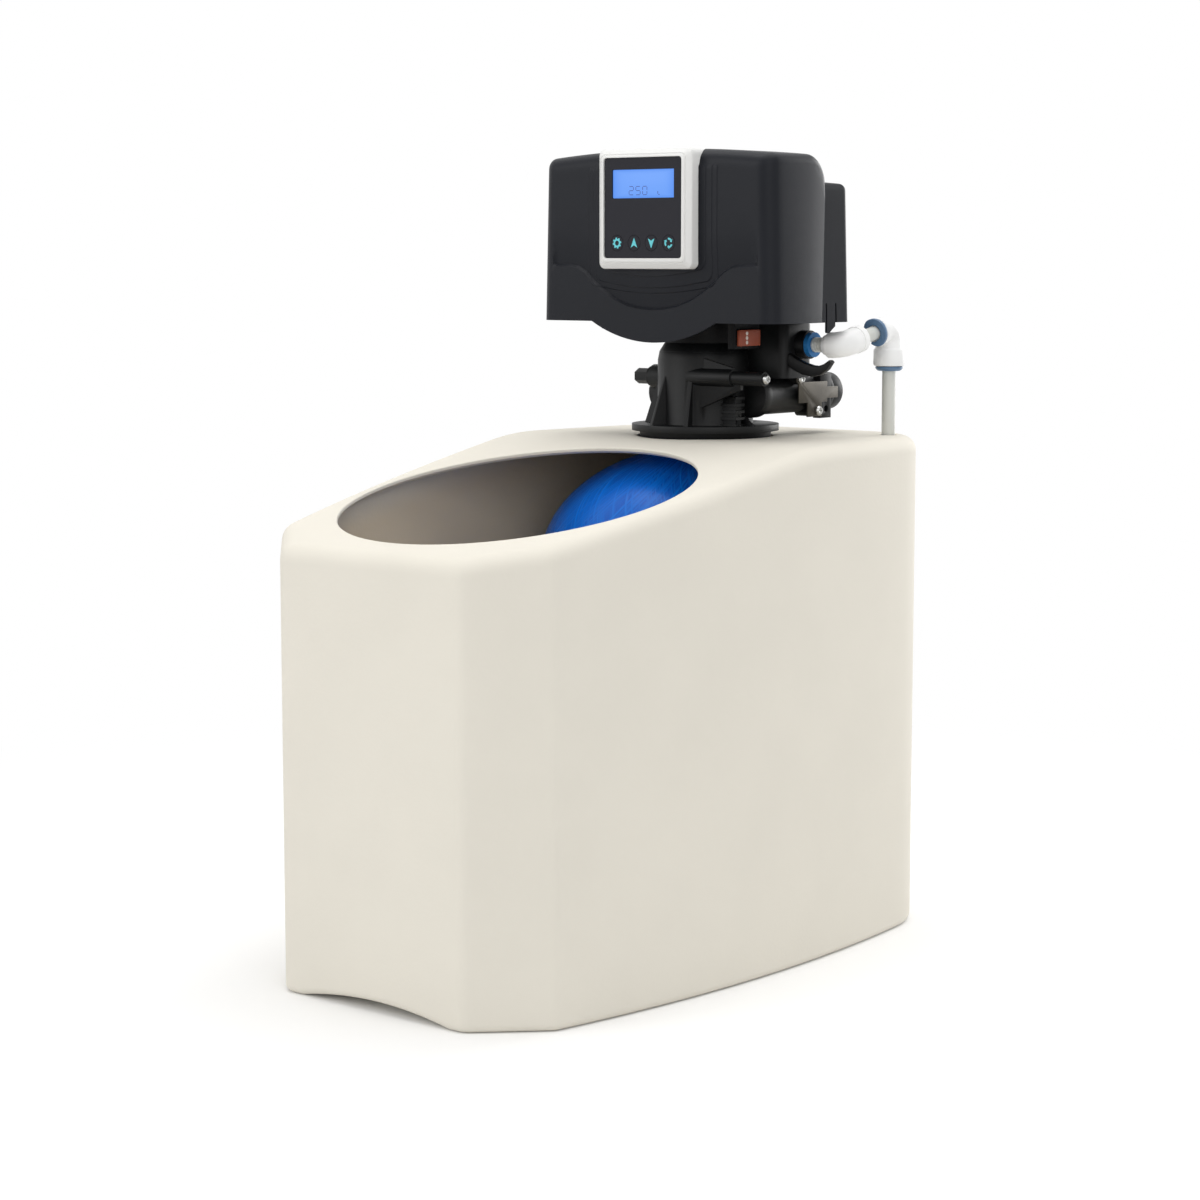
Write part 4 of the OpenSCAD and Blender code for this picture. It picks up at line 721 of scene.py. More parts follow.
@dataclass
class Cabinet:
    """The moulded salt cabinet: a bowed plan, a sloping top with a round mouth, and a toe arch."""
    length: float = 460.0
    front_w: float = 154.0
    chamfer: float = 41.0
    half_w: float = 138.0
    bow_y: float = 15.0
    wall: float = 4.0
    deck: float = 345.0
    slope: float = 0.2
    bend_y: float = 50.0
    bend: float = 22.0
    corner_r: float = 13.0
    rear_r: float = 70.0
    top_r: float = 10.0
    foot_r: float = 5.0
    mouth_r: float = 118.0
    mouth_y: float = -91.0
    mouth_edge: float = 0.9
    mouth_lip: float = 2.2
    mouth_relief: float = 2.2
    arch_h: float = 6.5
    arch_l: float = 34.0
    arch_fade: float = 8.0
    neck: Spot = (0.0, 107.0, 48.0)
    tube: Spot = (96.0, 193.0, 5.96)
    roll_steps: int = 8
    seam: Flat = (0.6, 0.8)
    low_z: Flat = (20.0, 40.0)
    arch_left: float = 0.4

    def __post_init__(self) -> None:
        """Works out the centres of the plan's arcs."""
        front = -self.length / 2
        end = (self.front_w / 2 + self.chamfer, front + self.chamfer)
        bulge = self.half_w - end[0]
        self.side_r = ((self.bow_y - end[1]) ** 2 + bulge ** 2) / (2 * bulge)
        self.side_c = (self.half_w - self.side_r, self.bow_y)
        diag = math.sqrt(0.5)
        self.front_c = (self.front_w / 2 - self.corner_r * (1 / diag - 1), front + self.corner_r)
        start = Vector((self.front_w / 2, front)) + self.corner_r * Vector((-diag, diag))
        gap = start - Vector(self.side_c)
        along = gap.dot(Vector((diag, diag)))
        run = math.sqrt(along ** 2 - gap.dot(gap) + (self.side_r - self.corner_r) ** 2) - along
        edge = start + run * Vector((diag, diag))
        self.edge_c = (edge.x, edge.y)
        rear_y = self.length / 2 - self.rear_r
        reach = math.sqrt((self.side_r - self.rear_r) ** 2 - (rear_y - self.bow_y) ** 2)
        self.rear_c = (self.side_c[0] + reach, rear_y)
        self.edge_a = math.degrees(math.atan2(edge.y - self.side_c[1], edge.x - self.side_c[0]))
        self.rear_a = math.degrees(math.atan2(rear_y - self.side_c[1], reach))

    def plan(self, inset: float) -> list[Flat]:
        """The plan's outline, drawn in by an inset, anticlockwise from the front's middle."""
        right = arc(self.front_c, self.corner_r - inset, -90, -45, 8)
        slant = arc(self.edge_c, self.corner_r - inset, -45, self.edge_a, 6)
        side = arc(self.side_c, self.side_r - inset, self.edge_a, self.rear_a, 48)
        rear = arc(self.rear_c, self.rear_r - inset, self.rear_a, 90, 20)
        front = [(right[0][0] * i / 20, right[0][1]) for i in range(20)]
        back = [(rear[-1][0] * (1 - i / 6), rear[-1][1]) for i in range(1, 6)]
        half = [*front, *right, *between(right[-1], slant[0], 5), *slant, *side[1:-1], *rear, *back]
        return [*half, (0.0, rear[-1][1]), *mirrored(half[1:])]

    def top(self, y: float) -> float:
        """Height of the top surface at a depth."""
        if y <= self.bend_y - self.bend:
            return self.deck - self.slope * (self.bend_y - y)
        if y >= self.bend_y + self.bend:
            return self.deck
        return self.deck - self.slope * (self.bend_y + self.bend - y) ** 2 / (4 * self.bend)

    def arch(self, x: float, y: float) -> float:
        """How far the toe arch lifts the foot at a place."""
        half = self.front_w / 2 - self.corner_r
        crown = (half ** 2 + self.arch_h ** 2) / (2 * self.arch_h)
        rise = max(0.0, self.arch_h - crown + math.sqrt(max(crown ** 2 - x ** 2, 0.0)))
        left = (-self.length / 2 + self.arch_l + self.arch_fade / 2 - y) / self.arch_fade
        return rise * min(1.0, max(0.0, left))

    def mouth_loop(self, radius: float, depth: float, steps: int = 128) -> list[Vector]:
        """A loop of the mouth's cut edge.

        Args:
            radius: The loop's radius in the slope's plane.
            depth: How far below the top surface it lies, square to the slope.
            steps: Points in the loop.

        Returns:
            The loop's points.
        """
        tilt = math.atan(self.slope)
        middle = Vector((0.0, self.mouth_y, self.top(self.mouth_y)))
        across, up_slope = Vector((1, 0, 0)), Vector((0, math.cos(tilt), math.sin(tilt)))
        inward = Vector((0, math.sin(tilt), -math.cos(tilt)))
        return [middle + radius * (math.cos(t) * across + math.sin(t) * up_slope) + depth * inward
                for t in full_turn(steps)]

    def skin(self, draft: Draft, inset: float, mouth_r: float, mouth_depth: float) -> list[list[Vector]]:
        """Adds one skin, outer or inner, and hands back the loops of its holes.

        Args:
            draft: Where it is added.
            inset: How far the skin lies inside the outer one.
            mouth_r: Radius of the mouth in this skin.
            mouth_depth: Depth of that loop below the outer top.

        Returns:
            The loops of the mouth, the neck hole and the tube hole.
        """
        roll = self.top_r - inset
        foot = max(self.foot_r - inset, 1.0)
        turns = quarter(self.roll_steps)
        floor_rim = self.plan(inset + foot + self.seam[0])
        loops = [[(x, y, inset + self.arch(x, y)) for x, y in floor_rim]]
        for t in turns:
            loops.append([(x, y, inset + foot * (1 - math.cos(t)) + self.arch(x, y))
                          for x, y in self.plan(inset + foot * (1 - math.sin(t)))])
        wall = self.plan(inset)
        for level, share in zip((inset + foot + 1.0, *self.low_z), (1.0, self.arch_left, 0.0)):
            loops.append([(x, y, level + self.arch(x, y) * share) for x, y in wall])
        loops.append([(x, y, self.top(y) - self.top_r - 1.0) for x, y in wall])
        for t in turns:
            loops.append([(x, y, self.top(y) - inset - roll * (1 - math.sin(t)))
                          for x, y in self.plan(inset + roll * (1 - math.cos(t)))])
        rim = self.plan(inset + roll + self.seam[1])
        loops.append([(x, y, self.top(y) - inset) for x, y in rim])
        draft.loft(loops)
        mouth = self.mouth_loop(mouth_r, mouth_depth)
        holes = [[(x + r * math.cos(t), y + r * math.sin(t)) for t in full_turn(n)]
                 for (x, y, r), n in ((self.neck, 64), (self.tube, 32))]
        rows = [(-130.0 + 10 * i, self.bend_y - self.bend + 4 * k) for k in range(12) for i in range(27)]
        loops2d = [rim, [(p.x, p.y) for p in mouth], *holes]
        spread = [p for p in rows if inside(p, loops2d)]
        draft.sheet(loops2d, lambda x, y: (x, y, self.top(y) - inset), spread)
        grid = [(-66.0 + 4 * i, -222.0 + 4 * k) for i in range(34) for k in range(10)]
        spread = [p for p in grid if inside(p, [floor_rim])]
        draft.sheet([floor_rim], lambda x, y: (x, y, inset + self.arch(x, y)), spread)
        return [mouth, *[[Vector((x, y, self.top(y) - inset)) for x, y in hole] for hole in holes]]

    def build(self) -> None:
        """Builds the cabinet and dresses its overflow."""
        draft = Draft()
        outer = self.skin(draft, 0.0, self.mouth_r + self.mouth_edge, 0.0)
        inner = self.skin(draft, self.wall, self.mouth_r + self.mouth_relief, self.wall)
        edge = [self.mouth_loop(self.mouth_r + self.mouth_edge * (1 - math.sin(t)),
                                self.mouth_edge * (1 - math.cos(t))) for t in quarter(4)[1:]]
        lip = self.mouth_loop(self.mouth_r, self.mouth_lip)
        draft.loft([outer[0], *edge, lip, inner[0]])
        for top, bottom in zip(outer[1:], inner[1:]):
            draft.loft([top, bottom])
        draft.piece("cabinet_moulding", CREAM, "cream_plastic", stands_for=["cabinet_shell"], crease=40)
        softened("overflow_spout", VALVE_BLACK, "black_plastic", 0.4)
        softened("overflow_nut", VALVE_BLACK, "black_plastic", 0.4)


@dataclass
class ResinTank:
    """The wound resin tank with its liner, foot, resin and pipework."""
    axis_y: float = 107.0
    radius: float = 116.0
    floor: float = 20.0
    neck_z: float = 344.0
    neck_r: float = 44.0
    neck_h: float = 12.0
    dome: float = 83.0
    bottom_dome: float = 72.0
    skin: float = 3.0
    relief: float = 0.3
    facets: int = 256

    def profile(self, inset: float, neck: float) -> list[Flat]:
        """Half profile from the bottom's middle up to the neck, drawn in by an inset."""
        radius, dome = self.radius - inset, self.dome - inset
        dome_z = self.neck_z - self.neck_h - self.dome * math.sqrt(1 - (self.neck_r / self.radius) ** 2)
        base_z = self.floor + self.bottom_dome
        low = self.bottom_dome - inset
        end = math.degrees(math.acos(neck / radius))
        bottom = [(radius * math.sin(t), base_z - low * math.cos(t)) for t in quarter(24)]
        wall = [(radius, base_z + (dome_z - base_z) * i / 30) for i in range(1, 30)]
        top = [(radius * math.cos(t), dome_z + dome * math.sin(t))
               for t in (math.radians(end * i / 48) for i in range(49))]
        return [*bottom, *wall, *top, (neck, self.neck_z - 2.0), (neck, self.neck_z)]

    def ridge(self, turn: float, level: float) -> float:
        """Depth of the winding's crossing bands at a place."""
        climb = level * 0.055
        first = math.sin(9 * turn + 2.4 * climb + 0.6 * math.sin(3 * turn + climb))
        second = math.sin(9 * turn - 2.4 * climb + 0.5 * math.sin(4 * turn - climb))
        fine = math.sin(41 * turn + 5.5 * climb) * math.sin(37 * turn - 5.0 * climb)
        return -self.relief * (0.5 - 0.25 * max(first, second) - 0.25 * fine * fine)

    def build(self) -> None:
        """Builds the winding and dresses what the tank holds."""
        draft = Draft()
        place = Matrix.Translation((0.0, self.axis_y, 0.0))
        outer = self.profile(0.0, self.neck_r)
        inner = self.profile(self.skin, self.neck_r - self.skin)
        draft.lathe(outer, place, self.facets, self.ridge)
        draft.faces.pop()
        draft.lathe(inner, place, self.facets)
        draft.faces.pop()
        rims = [len(outer) * self.facets, len(draft.points)]
        draft.bridge(*[list(range(end - self.facets, end)) for end in rims])
        winding = WoundFibre("blue_winding", srgb(0, 120, 222), srgb(0, 88, 190), self.axis_y * MM,
                             self.radius * MM)
        draft.piece("tank_wound_skin", winding, "tank_blue", stands_for=["tank_winding"], crease=50)
        dress(VALVE_BLACK, "tank_foot")
        dress(LINER, "tank_liner")
        dress(BEADS, "resin_bed")
        dress(WHITE_INNER, "riser_tube", "bottom_strainer", "top_strainer")
        dress(RUBBER, "neck_orings")


@dataclass
class ControlValve:
    """The control valve on the tank's neck, with its ports, clips, injector and flow meter."""
    injector_y: float = 80.0
    web_t: float = 2.4
    ladder_x: Flat = (22.0, 39.5)
    ladder_y: Flat = (90.0, 97.0)
    ladder_z: Flat = (353.0, 373.5)
    rungs: int = 5
    rung_h: float = 1.8
    rung_out: float = 1.6
    injector_web: tuple[Flat, ...] = ((20.0, 389.0), (46.0, 389.0), (46.0, 393.8), (20.0, 400.0))
    foot_web: tuple[Flat, ...] = ((28.0, 351.0), (47.5, 351.0), (47.5, 354.0), (35.0, 363.6), (28.0, 363.6))
    foot_web_y: float = 100.0
    foot_web_t: float = 3.0
    block: Spot = (19.5, 17.0, 6.0)
    block_at: Spot = (43.5, 131.0, 386.0)
    block_h: float = 37.4
    block_edge: float = 0.8
    hook_y: float = 121.0
    hook_w: float = 5.0
    hook: tuple[Spot, ...] = ((62.0, 399.5, 4.0), (69.0, 395.6, 4.2), (76.0, 392.9, 4.2), (83.0, 391.6, 3.9),
                              (89.0, 392.2, 3.2), (94.0, 394.8, 2.3), (98.0, 398.6, 1.2))

    def build(self) -> None:
        """Rounds the valve's mouldings, adds its ribs and dresses the pieces inside it."""
        softened("valve_body", VALVE_BLACK, "black_plastic", 0.5)
        self.build_ribs()
        self.build_hook()
        for node in ("valve_cap", "drain_connector", "inlet_tail", "outlet_tail"):
            softened(node, VALVE_BLACK, "black_plastic", 0.35)
        softened("tail_clips", CLIP_STEEL, "clip_steel", 0.2)
        softened("clip_screws", STEEL, "steel", 0.2)
        softened("injector_plug", STEEL, "steel", 0.2)
        dress(WHITE_INNER, "stack_spacers", "injector_nozzle", "turbine_cage")
        dress(RUBBER, "stack_seals", "rod_seal", "drain_washer", "tail_orings")
        dress(PISTON, "piston", "piston_rod")
        dress(TURBINE, "turbine")

    @staticmethod
    def web(draft: Draft, outline: Sequence[Flat], y: float, thick: float) -> None:
        """Adds one upright web, drawn across the frame.

        Args:
            draft: Where it is added.
            outline: Its outline across and up.
            y: Its middle's depth.
            thick: Its thickness.
        """
        edge = 0.25
        middle = Vector((sum(p[0] for p in outline), sum(p[1] for p in outline))) / len(outline)
        drawn_in = [middle + (Vector(p) - middle) * (1 - edge / max((Vector(p) - middle).length, 1.0))
                    for p in outline]
        rows = [(drawn_in, -thick / 2), ([Vector(p) for p in outline], edge - thick / 2),
                ([Vector(p) for p in outline], thick / 2 - edge), (drawn_in, thick / 2)]
        draft.loft([[(p.x, y + shift, p.y) for p in row] for row, shift in rows], caps=True)

    def build_ribs(self) -> None:
        """Adds the webs, the ladder of ribs and the block beside the barrel."""
        draft = Draft()
        self.web(draft, self.injector_web, self.injector_y, self.web_t)
        self.web(draft, self.foot_web, self.foot_web_y, self.foot_web_t)
        low, high = self.ladder_z
        left, right = self.ladder_x
        near, far = self.ladder_y
        block = [(left, low), (right, low), (right, high), (left, high)]
        self.web(draft, block, (near + far) / 2, far - near)
        for i in range(self.rungs):
            z = low + (high - low - self.rung_h) * i / (self.rungs - 1)
            rung = [(left, z), (right + self.rung_out, z), (right + self.rung_out, z + self.rung_h),
                    (left, z + self.rung_h)]
            self.web(draft, rung, (near + far) / 2, far - near + 2 * self.rung_out)
        place = Matrix.Translation(self.block_at)
        draft.prism(rounded_box(*self.block), place, self.block_h, self.block_edge)
        draft.piece("valve_ribs", VALVE_BLACK, "black_plastic", crease=30)

    def build_hook(self) -> None:
        """Adds the curved arm that cradles the brine elbow from below."""
        draft = Draft()
        loops = []
        for i, (x, z, thick) in enumerate(self.hook):
            before, after = self.hook[max(i - 1, 0)], self.hook[min(i + 1, len(self.hook) - 1)]
            ahead = Vector((after[0] - before[0], after[1] - before[1])).normalized()
            up = Vector((-ahead.y, ahead.x))
            outline = rounded_box(self.hook_w / 2, thick, min(0.8, thick * 0.6), 3)
            loops.append([(x + up.x * v, self.hook_y + u, z + up.y * v) for u, v in outline])
        draft.loft(loops, caps=True)
        draft.piece("brine_cradle", VALVE_BLACK, "black_plastic", crease=40)


@dataclass
class Drive:
    """The base under the head's covers, with the motor, the gears and the marker tag."""
    tag_x: float = 55.0
    tag_y: Flat = (74.5, 97.5)
    tag_z: Flat = (409.0, 420.0)
    dot_r: float = 1.3
    dot_in: float = 7.5
    dot_rows: Spot = (0.22, 0.5, 0.78)

    def build(self) -> None:
        """Rounds the base and the tag and dresses the drive."""
        # the base takes the painted-shade black
        softened("head_base", SHADED_BASE_BLACK, "black_plastic", 0.4)
        softened("marker_tag", TAG_BROWN, "tag_brown", 0.5)
        self.build_dots()
        dress(MOTOR_STEEL, "motor")
        dress(STEEL, "base_screws", "motor_screws", "idler_pin")
        dress(GEAR, "motor_pinion", "idler_gear", "main_gear")

    def build_dots(self) -> None:
        """Puts three pale dots in a column on the tag."""
        draft = Draft()
        y = self.tag_y[0] + self.dot_in
        for share in self.dot_rows:
            z = self.tag_z[0] + (self.tag_z[1] - self.tag_z[0]) * share
            place = Matrix.Translation((self.tag_x - 0.3, y, z)) @ Matrix.Rotation(math.pi / 2, 4, "Y")
            draft.lathe([(self.dot_r, 0.0), (self.dot_r, 0.4), (self.dot_r * 0.8, 0.5)], place, 20)
        draft.piece("tag_dots", TAG_DOT, "tag_brown")


@dataclass
class Head:
    """The two covers of the drive head."""
    face_y: float = 47.5
    back_y: float = 105.0
    lean: float = 6.0
    lean_y: float = 62.0
    foot_z: float = 425.0
    height: float = 113.0
    roof_arch: float = 5.0
    arch_base: float = 0.8
    half_w: float = 102.75
    draft: float = 3.0
    bow: float = 1.8
    face_r: float = 10.2
    top_roll: float = 9.5
    crown_r: float = 16.0
    corner: float = 7.0
    skin: float = 1.9
    apron_half: float = 54.0
    apron_h: float = 14.0
    step_down: float = 1.9
    step_riser: float = 1.7
    step_reach: float = 26.0
    terraces: tuple[Flat, ...] = ((46.5, 456.0), (51.5, 448.2), (55.5, 444.6))
    terrace_up: float = 0.45
    terrace_riser: float = 0.6
    rear_front: float = 101.0
    rear_back: float = 139.5
    rear_top: float = 518.2
    rear_half: float = 99.95
    rear_corner: float = 5.0
    slits: tuple[Flat, ...] = ((111.0, 112.5), (122.0, 123.5))
    slit_z: float = 438.0

    def side(self, z: float) -> float:
        """Half width of the front cover at a height."""
        return self.half_w - self.draft * (z - self.foot_z) / self.height

    def roof(self, x: float) -> float:
        """Height of the arched roof at a distance from the middle."""
        share = x / (self.half_w - self.draft)
        return self.foot_z + self.height + self.roof_arch * (self.arch_base - share * share)

    def section(self, y: float, share: float, corner: float) -> list[Vector]:
        """One upside-down U across the cover.

        Args:
            y: Where it stands at its foot.
            share: How far the front's roundings draw it in, from 0 to 1.
            corner: Radius of its two top corners.

        Returns:
            Points from the right foot over the top to the left foot.
        """
        drop = max(0.0, y - (self.back_y - self.crown_r))
        fall = self.top_roll * share + self.crown_r - math.sqrt(max(self.crown_r ** 2 - drop ** 2, 0.0))
        middle = (self.face_y + self.back_y) / 2
        bulge = min(1.0, abs(y - middle) / (self.back_y - middle)) ** 2
        inset = self.face_r * share + self.bow * bulge
        shoulder = self.side(self.foot_z + self.height - corner) - inset - corner
        knee = self.roof(shoulder) - fall - corner
        levels = [self.foot_z + (knee - self.foot_z) * i / 16 for i in range(16)]
        flank = [(self.side(z) - inset, z) for z in levels]
        bend = arc((shoulder, knee), corner, 0, 90, 6)
        roof_line = [(x, self.roof(x) - fall) for x in (shoulder * (1 - i / 16) for i in range(1, 16))]
        half = [*flank, *bend, *roof_line]
        full = [*half, (0.0, self.roof(0.0) - fall), *mirrored(half)]
        tilt = self.lean * min(1.0, max(0.0, (y - self.lean_y) / (self.back_y - self.crown_r - self.lean_y)))
        reach = self.height - self.crown_r
        return [Vector((x, y + tilt * min(1.0, (z - self.foot_z) / reach), z)) for x, z in full]

    def build(self) -> None:
        """Builds both covers."""
        self.build_front()
        self.build_rear()
        dress(STEEL, "cover_screws")
        softened("power_socket", VALVE_BLACK, "black_plastic", 0.2)

    @staticmethod
    def step_line() -> list[Flat]:
        """The edge between the proud lower band and the upper face, from the left to the right."""
        half = [(0.0, 433.9), (11.0, 434.4), (22.0, 436.4), (33.0, 440.2), (44.0, 446.3), (53.0, 452.6),
                (60.5, 458.8), (67.5, 462.4), (75.0, 463.5), (99.0, 463.5)]
        return [*mirrored(half[1:]), *half]

    def terrace(self, half_w: float, foot: float) -> list[Flat]:
        """A U round the display, from the left top to the right top.

        Args:
            half_w: Half its width.
            foot: Height of its lowest point.

        Returns:
            The line's points.
        """
        bow, bend = 6.0, 9.0
        top = self.foot_z + self.height + 10.0
        low = [(x, foot + bow * (x / half_w) ** 2) for x in (half_w * 0.8 * i / 12 for i in range(13))]
        turn = arc((half_w - bend, low[-1][1] + bend * 0.95), bend, -60, 0, 8)
        half = [*low, *turn, (half_w, top)]
        return [*mirrored(half[1:]), *half]

    def build_front(self) -> None:
        """Builds the front cover with its stepped face, terraces and apron."""
        draft = Draft()
        turns = quarter(8)
        sections = [self.section(self.face_y + self.face_r * (1 - math.sin(t)), 1 - math.cos(t),
                                 2.0 + (self.corner - 2.0) * math.cos(t)) for t in reversed(turns)]
        start, crown_y = self.face_y + self.face_r, self.back_y - self.crown_r
        depths = [start + (crown_y - start) * i / 8 for i in range(1, 9)]
        crown = [crown_y + self.crown_r * math.sin(t) for t in turns[1:]]
        sections += [self.section(y, 0.0, self.corner) for y in [*depths, *crown]]
        draft.loft(sections, closed=False)
        rim = [(p.x, p.z) for p in sections[0]]
        bow_r = (self.apron_half ** 2 + self.apron_h ** 2) / (2 * self.apron_h)
        apron = [(-x, self.foot_z - self.apron_h + bow_r - math.sqrt(bow_r ** 2 - x * x))
                 for x in (self.apron_half * (1 - i / 20) for i in range(41))]
        loop = [*rim, *between(rim[-1], apron[0], 6), *apron, *between(apron[-1], rim[0], 6)]
        self.face_sheet(draft, loop)
        draft.piece("front_cover_moulding", CHARCOAL, "charcoal_plastic", stands_for=["front_cover"],
                    crease=28, skin=self.skin)

    def face_sheet(self, draft: Draft, loop: Sequence[Flat]) -> None:
        """Adds the front face inside a loop, with its step and terraces.

        Args:
            draft: Where it is added.
            loop: The face's outline.
        """
        edges = [Contour(self.step_line(), -self.step_down, self.step_riser, self.step_reach)]
        edges += [Contour(self.terrace(*size), self.terrace_up, self.terrace_riser) for size in self.terraces]
        fade = 2.5

        def lift(x: float, z: float) -> Spot:
            """Stands a point of the face at its level."""
            rim = min(self.side(z) - self.face_r - self.bow - abs(x), self.roof(x) - self.top_roll - z)
            near = min(1.0, max(0.0, rim / fade))
            return (x, self.face_y - near * sum(edge.height(x, z) for edge in edges), z)
        lines = []
        for edge in edges:
            for shift in (-edge.riser / 2, edge.riser / 2):
                lines += edge.kept(shift, loop)
        lines += [run for shift in (6.0, 13.0, 20.0) for run in edges[0].kept(shift, loop)]
        upper = [(x, z) for x, z in loop if z > self.foot_z + 2]
        draft.sheet([loop], lift, self.drawn_in(upper, 0.972, 0.976), lines)

    def drawn_in(self, loop: Sequence[Flat], across: float, upward: float) -> list[Flat]:
        """A loop drawn in towards the middle of a cover's foot, by a share each way."""
        base = self.foot_z + 1.0
        return [(x * across, base + (z - base) * upward) for x, z in loop]

    def hoop(self, y: float, share: float) -> list[Vector]:
        """One upside-down U across the rear cover.

        Args:
            y: Where it stands.
            share: How far the rear's roundings draw it in, from 0 to 1.

        Returns:
            Points from the right foot over the top to the left foot.
        """
        inset = self.rear_corner * share
        radius = max(self.rear_corner - inset, 1.5)

        def edge(z: float) -> float:
            """Half width at a height."""
            return self.rear_half - self.draft * (z - self.foot_z) / (self.rear_top - self.foot_z) - inset

        def roof(x: float) -> float:
            """Height of the roof, arched as the front cover's is."""
            return self.rear_top - inset + self.roof_arch * (1 - (x / (self.rear_half - self.draft)) ** 2)
        shoulder = edge(self.rear_top - inset - radius) - radius
        knee = roof(shoulder) - radius
        levels = [self.foot_z, *(self.slit_z + (knee - self.slit_z) * i / 10 for i in range(10))]
        bend = arc((shoulder, knee), radius, 0, 90, 5)
        line = [(x, roof(x)) for x in (shoulder * (1 - i / 8) for i in range(1, 8))]
        half = [*[(edge(z), z) for z in levels], *bend, *line]
        return [Vector((x, y, z)) for x, z in [*half, (0.0, roof(0.0)), *mirrored(half)]]

    def build_rear(self) -> None:
        """Builds the rear cover with its slits and snap tongues."""
        draft = Draft()
        cuts = [y for slit in self.slits for y in slit]
        start = self.rear_back - self.rear_corner
        loops = [self.hoop(y, 0.0) for y in (self.rear_front, *cuts, start - 0.6)]
        loops += [self.hoop(start + self.rear_corner * math.sin(t), 1 - math.cos(t)) for t in quarter(6)]
        rings = [draft.ring(loop) for loop in loops]
        last = len(rings[0]) - 2
        for k, (first, second) in enumerate(zip(rings, rings[1:])):
            for i in range(last + 1):
                if k in (1, 3) and i in (0, last):
                    continue
                draft.faces.append((first[i], first[i + 1], second[i + 1], second[i]))
        rim = [(p.x, p.z) for p in loops[-1]]
        draft.sheet([[*rim, *between(rim[-1], rim[0], 20)]], lambda x, z: (x, self.rear_back, z),
                    self.drawn_in(rim, 0.98, 0.985))
        # the rear cover takes the painted-shade copy of the charcoal
        draft.piece("rear_cover_moulding", SHADED_REAR_CHARCOAL, "charcoal_plastic", stands_for=["rear_cover"],
                    crease=35, skin=self.skin)
        self.build_tongues()

    def build_tongues(self) -> None:
        """Hangs a snap tongue under each side of the rear cover, between its slits."""
        draft = Draft()
        near, far = self.slits[0][1], self.slits[1][0]
        outline = [(near, self.foot_z + 1.0), (near, 418.6), (near + 0.8, 417.8), (near + 2.5, 417.8),
                   (far - 3.0, 420.6), (far, 422.4), (far, self.foot_z + 1.0)]
        for way in (-1, 1):
            rows = [way * (self.rear_half - step) for step in (0.1, self.skin)]
            draft.loft([[(x, y, z) for y, z in outline] for x in rows], caps=True)
        draft.piece("cover_tongues", SHADED_REAR_CHARCOAL, "charcoal_plastic", crease=30)


@dataclass
class Contour:
    """A line on the head's face where the level rises."""
    line: list[Flat]
    rise: float
    riser: float
    reach: float = 0.0

    def offset(self, x: float, z: float) -> float:
        """Signed distance of a point from the line, positive on the left of its direction."""
        best, sign = 1e9, 1.0
        spot = Vector((x, z))
        for first, last in zip(self.line, self.line[1:]):
            a, b = Vector(first), Vector(last)
            run = b - a
            share = min(1.0, max(0.0, (spot - a).dot(run) / run.length_squared))
            gap = spot - (a + run * share)
            if gap.length < best - 1e-9:
                best = gap.length
                sign = 1.0 if run.x * gap.y - run.y * gap.x >= 0 else -1.0
        return best * sign

    def height(self, x: float, z: float) -> float:
        """How far the line lifts the face at a point, dying out over its reach."""
        gap = self.offset(x, z)
        left = 1.0
        if self.reach:
            left = (1.0 - min(1.0, max(0.0, gap / self.reach))) ** 1.5
        return self.rise * left * min(1.0, max(0.0, gap / self.riser + 0.5))

    def kept(self, shift: float, loop: Sequence[Flat]) -> list[list[Flat]]:
        """The line moved sideways, in runs that stay inside a loop.

        Args:
            shift: How far, to the left of its direction.
            loop: The loop.

        Returns:
            The runs of points.
        """
        fine: list[Vector] = []
        for first, last in zip(self.line, self.line[1:]):
            steps = max(1, int(math.dist(first, last) / 2.0))
            fine += [Vector(first).lerp(Vector(last), i / steps) for i in range(steps)]
        fine.append(Vector(self.line[-1]))
        runs: list[list[Flat]] = [[]]
        for i, spot in enumerate(fine):
            ahead = (fine[min(i + 1, len(fine) - 1)] - fine[max(i - 1, 0)]).normalized()
            moved = spot + shift * Vector((-ahead.y, ahead.x))
            if inside((moved.x, moved.y), [loop]):
                runs[-1].append((moved.x, moved.y))
            elif runs[-1]:
                runs.append([])
        return [run for run in runs if len(run) > 1]


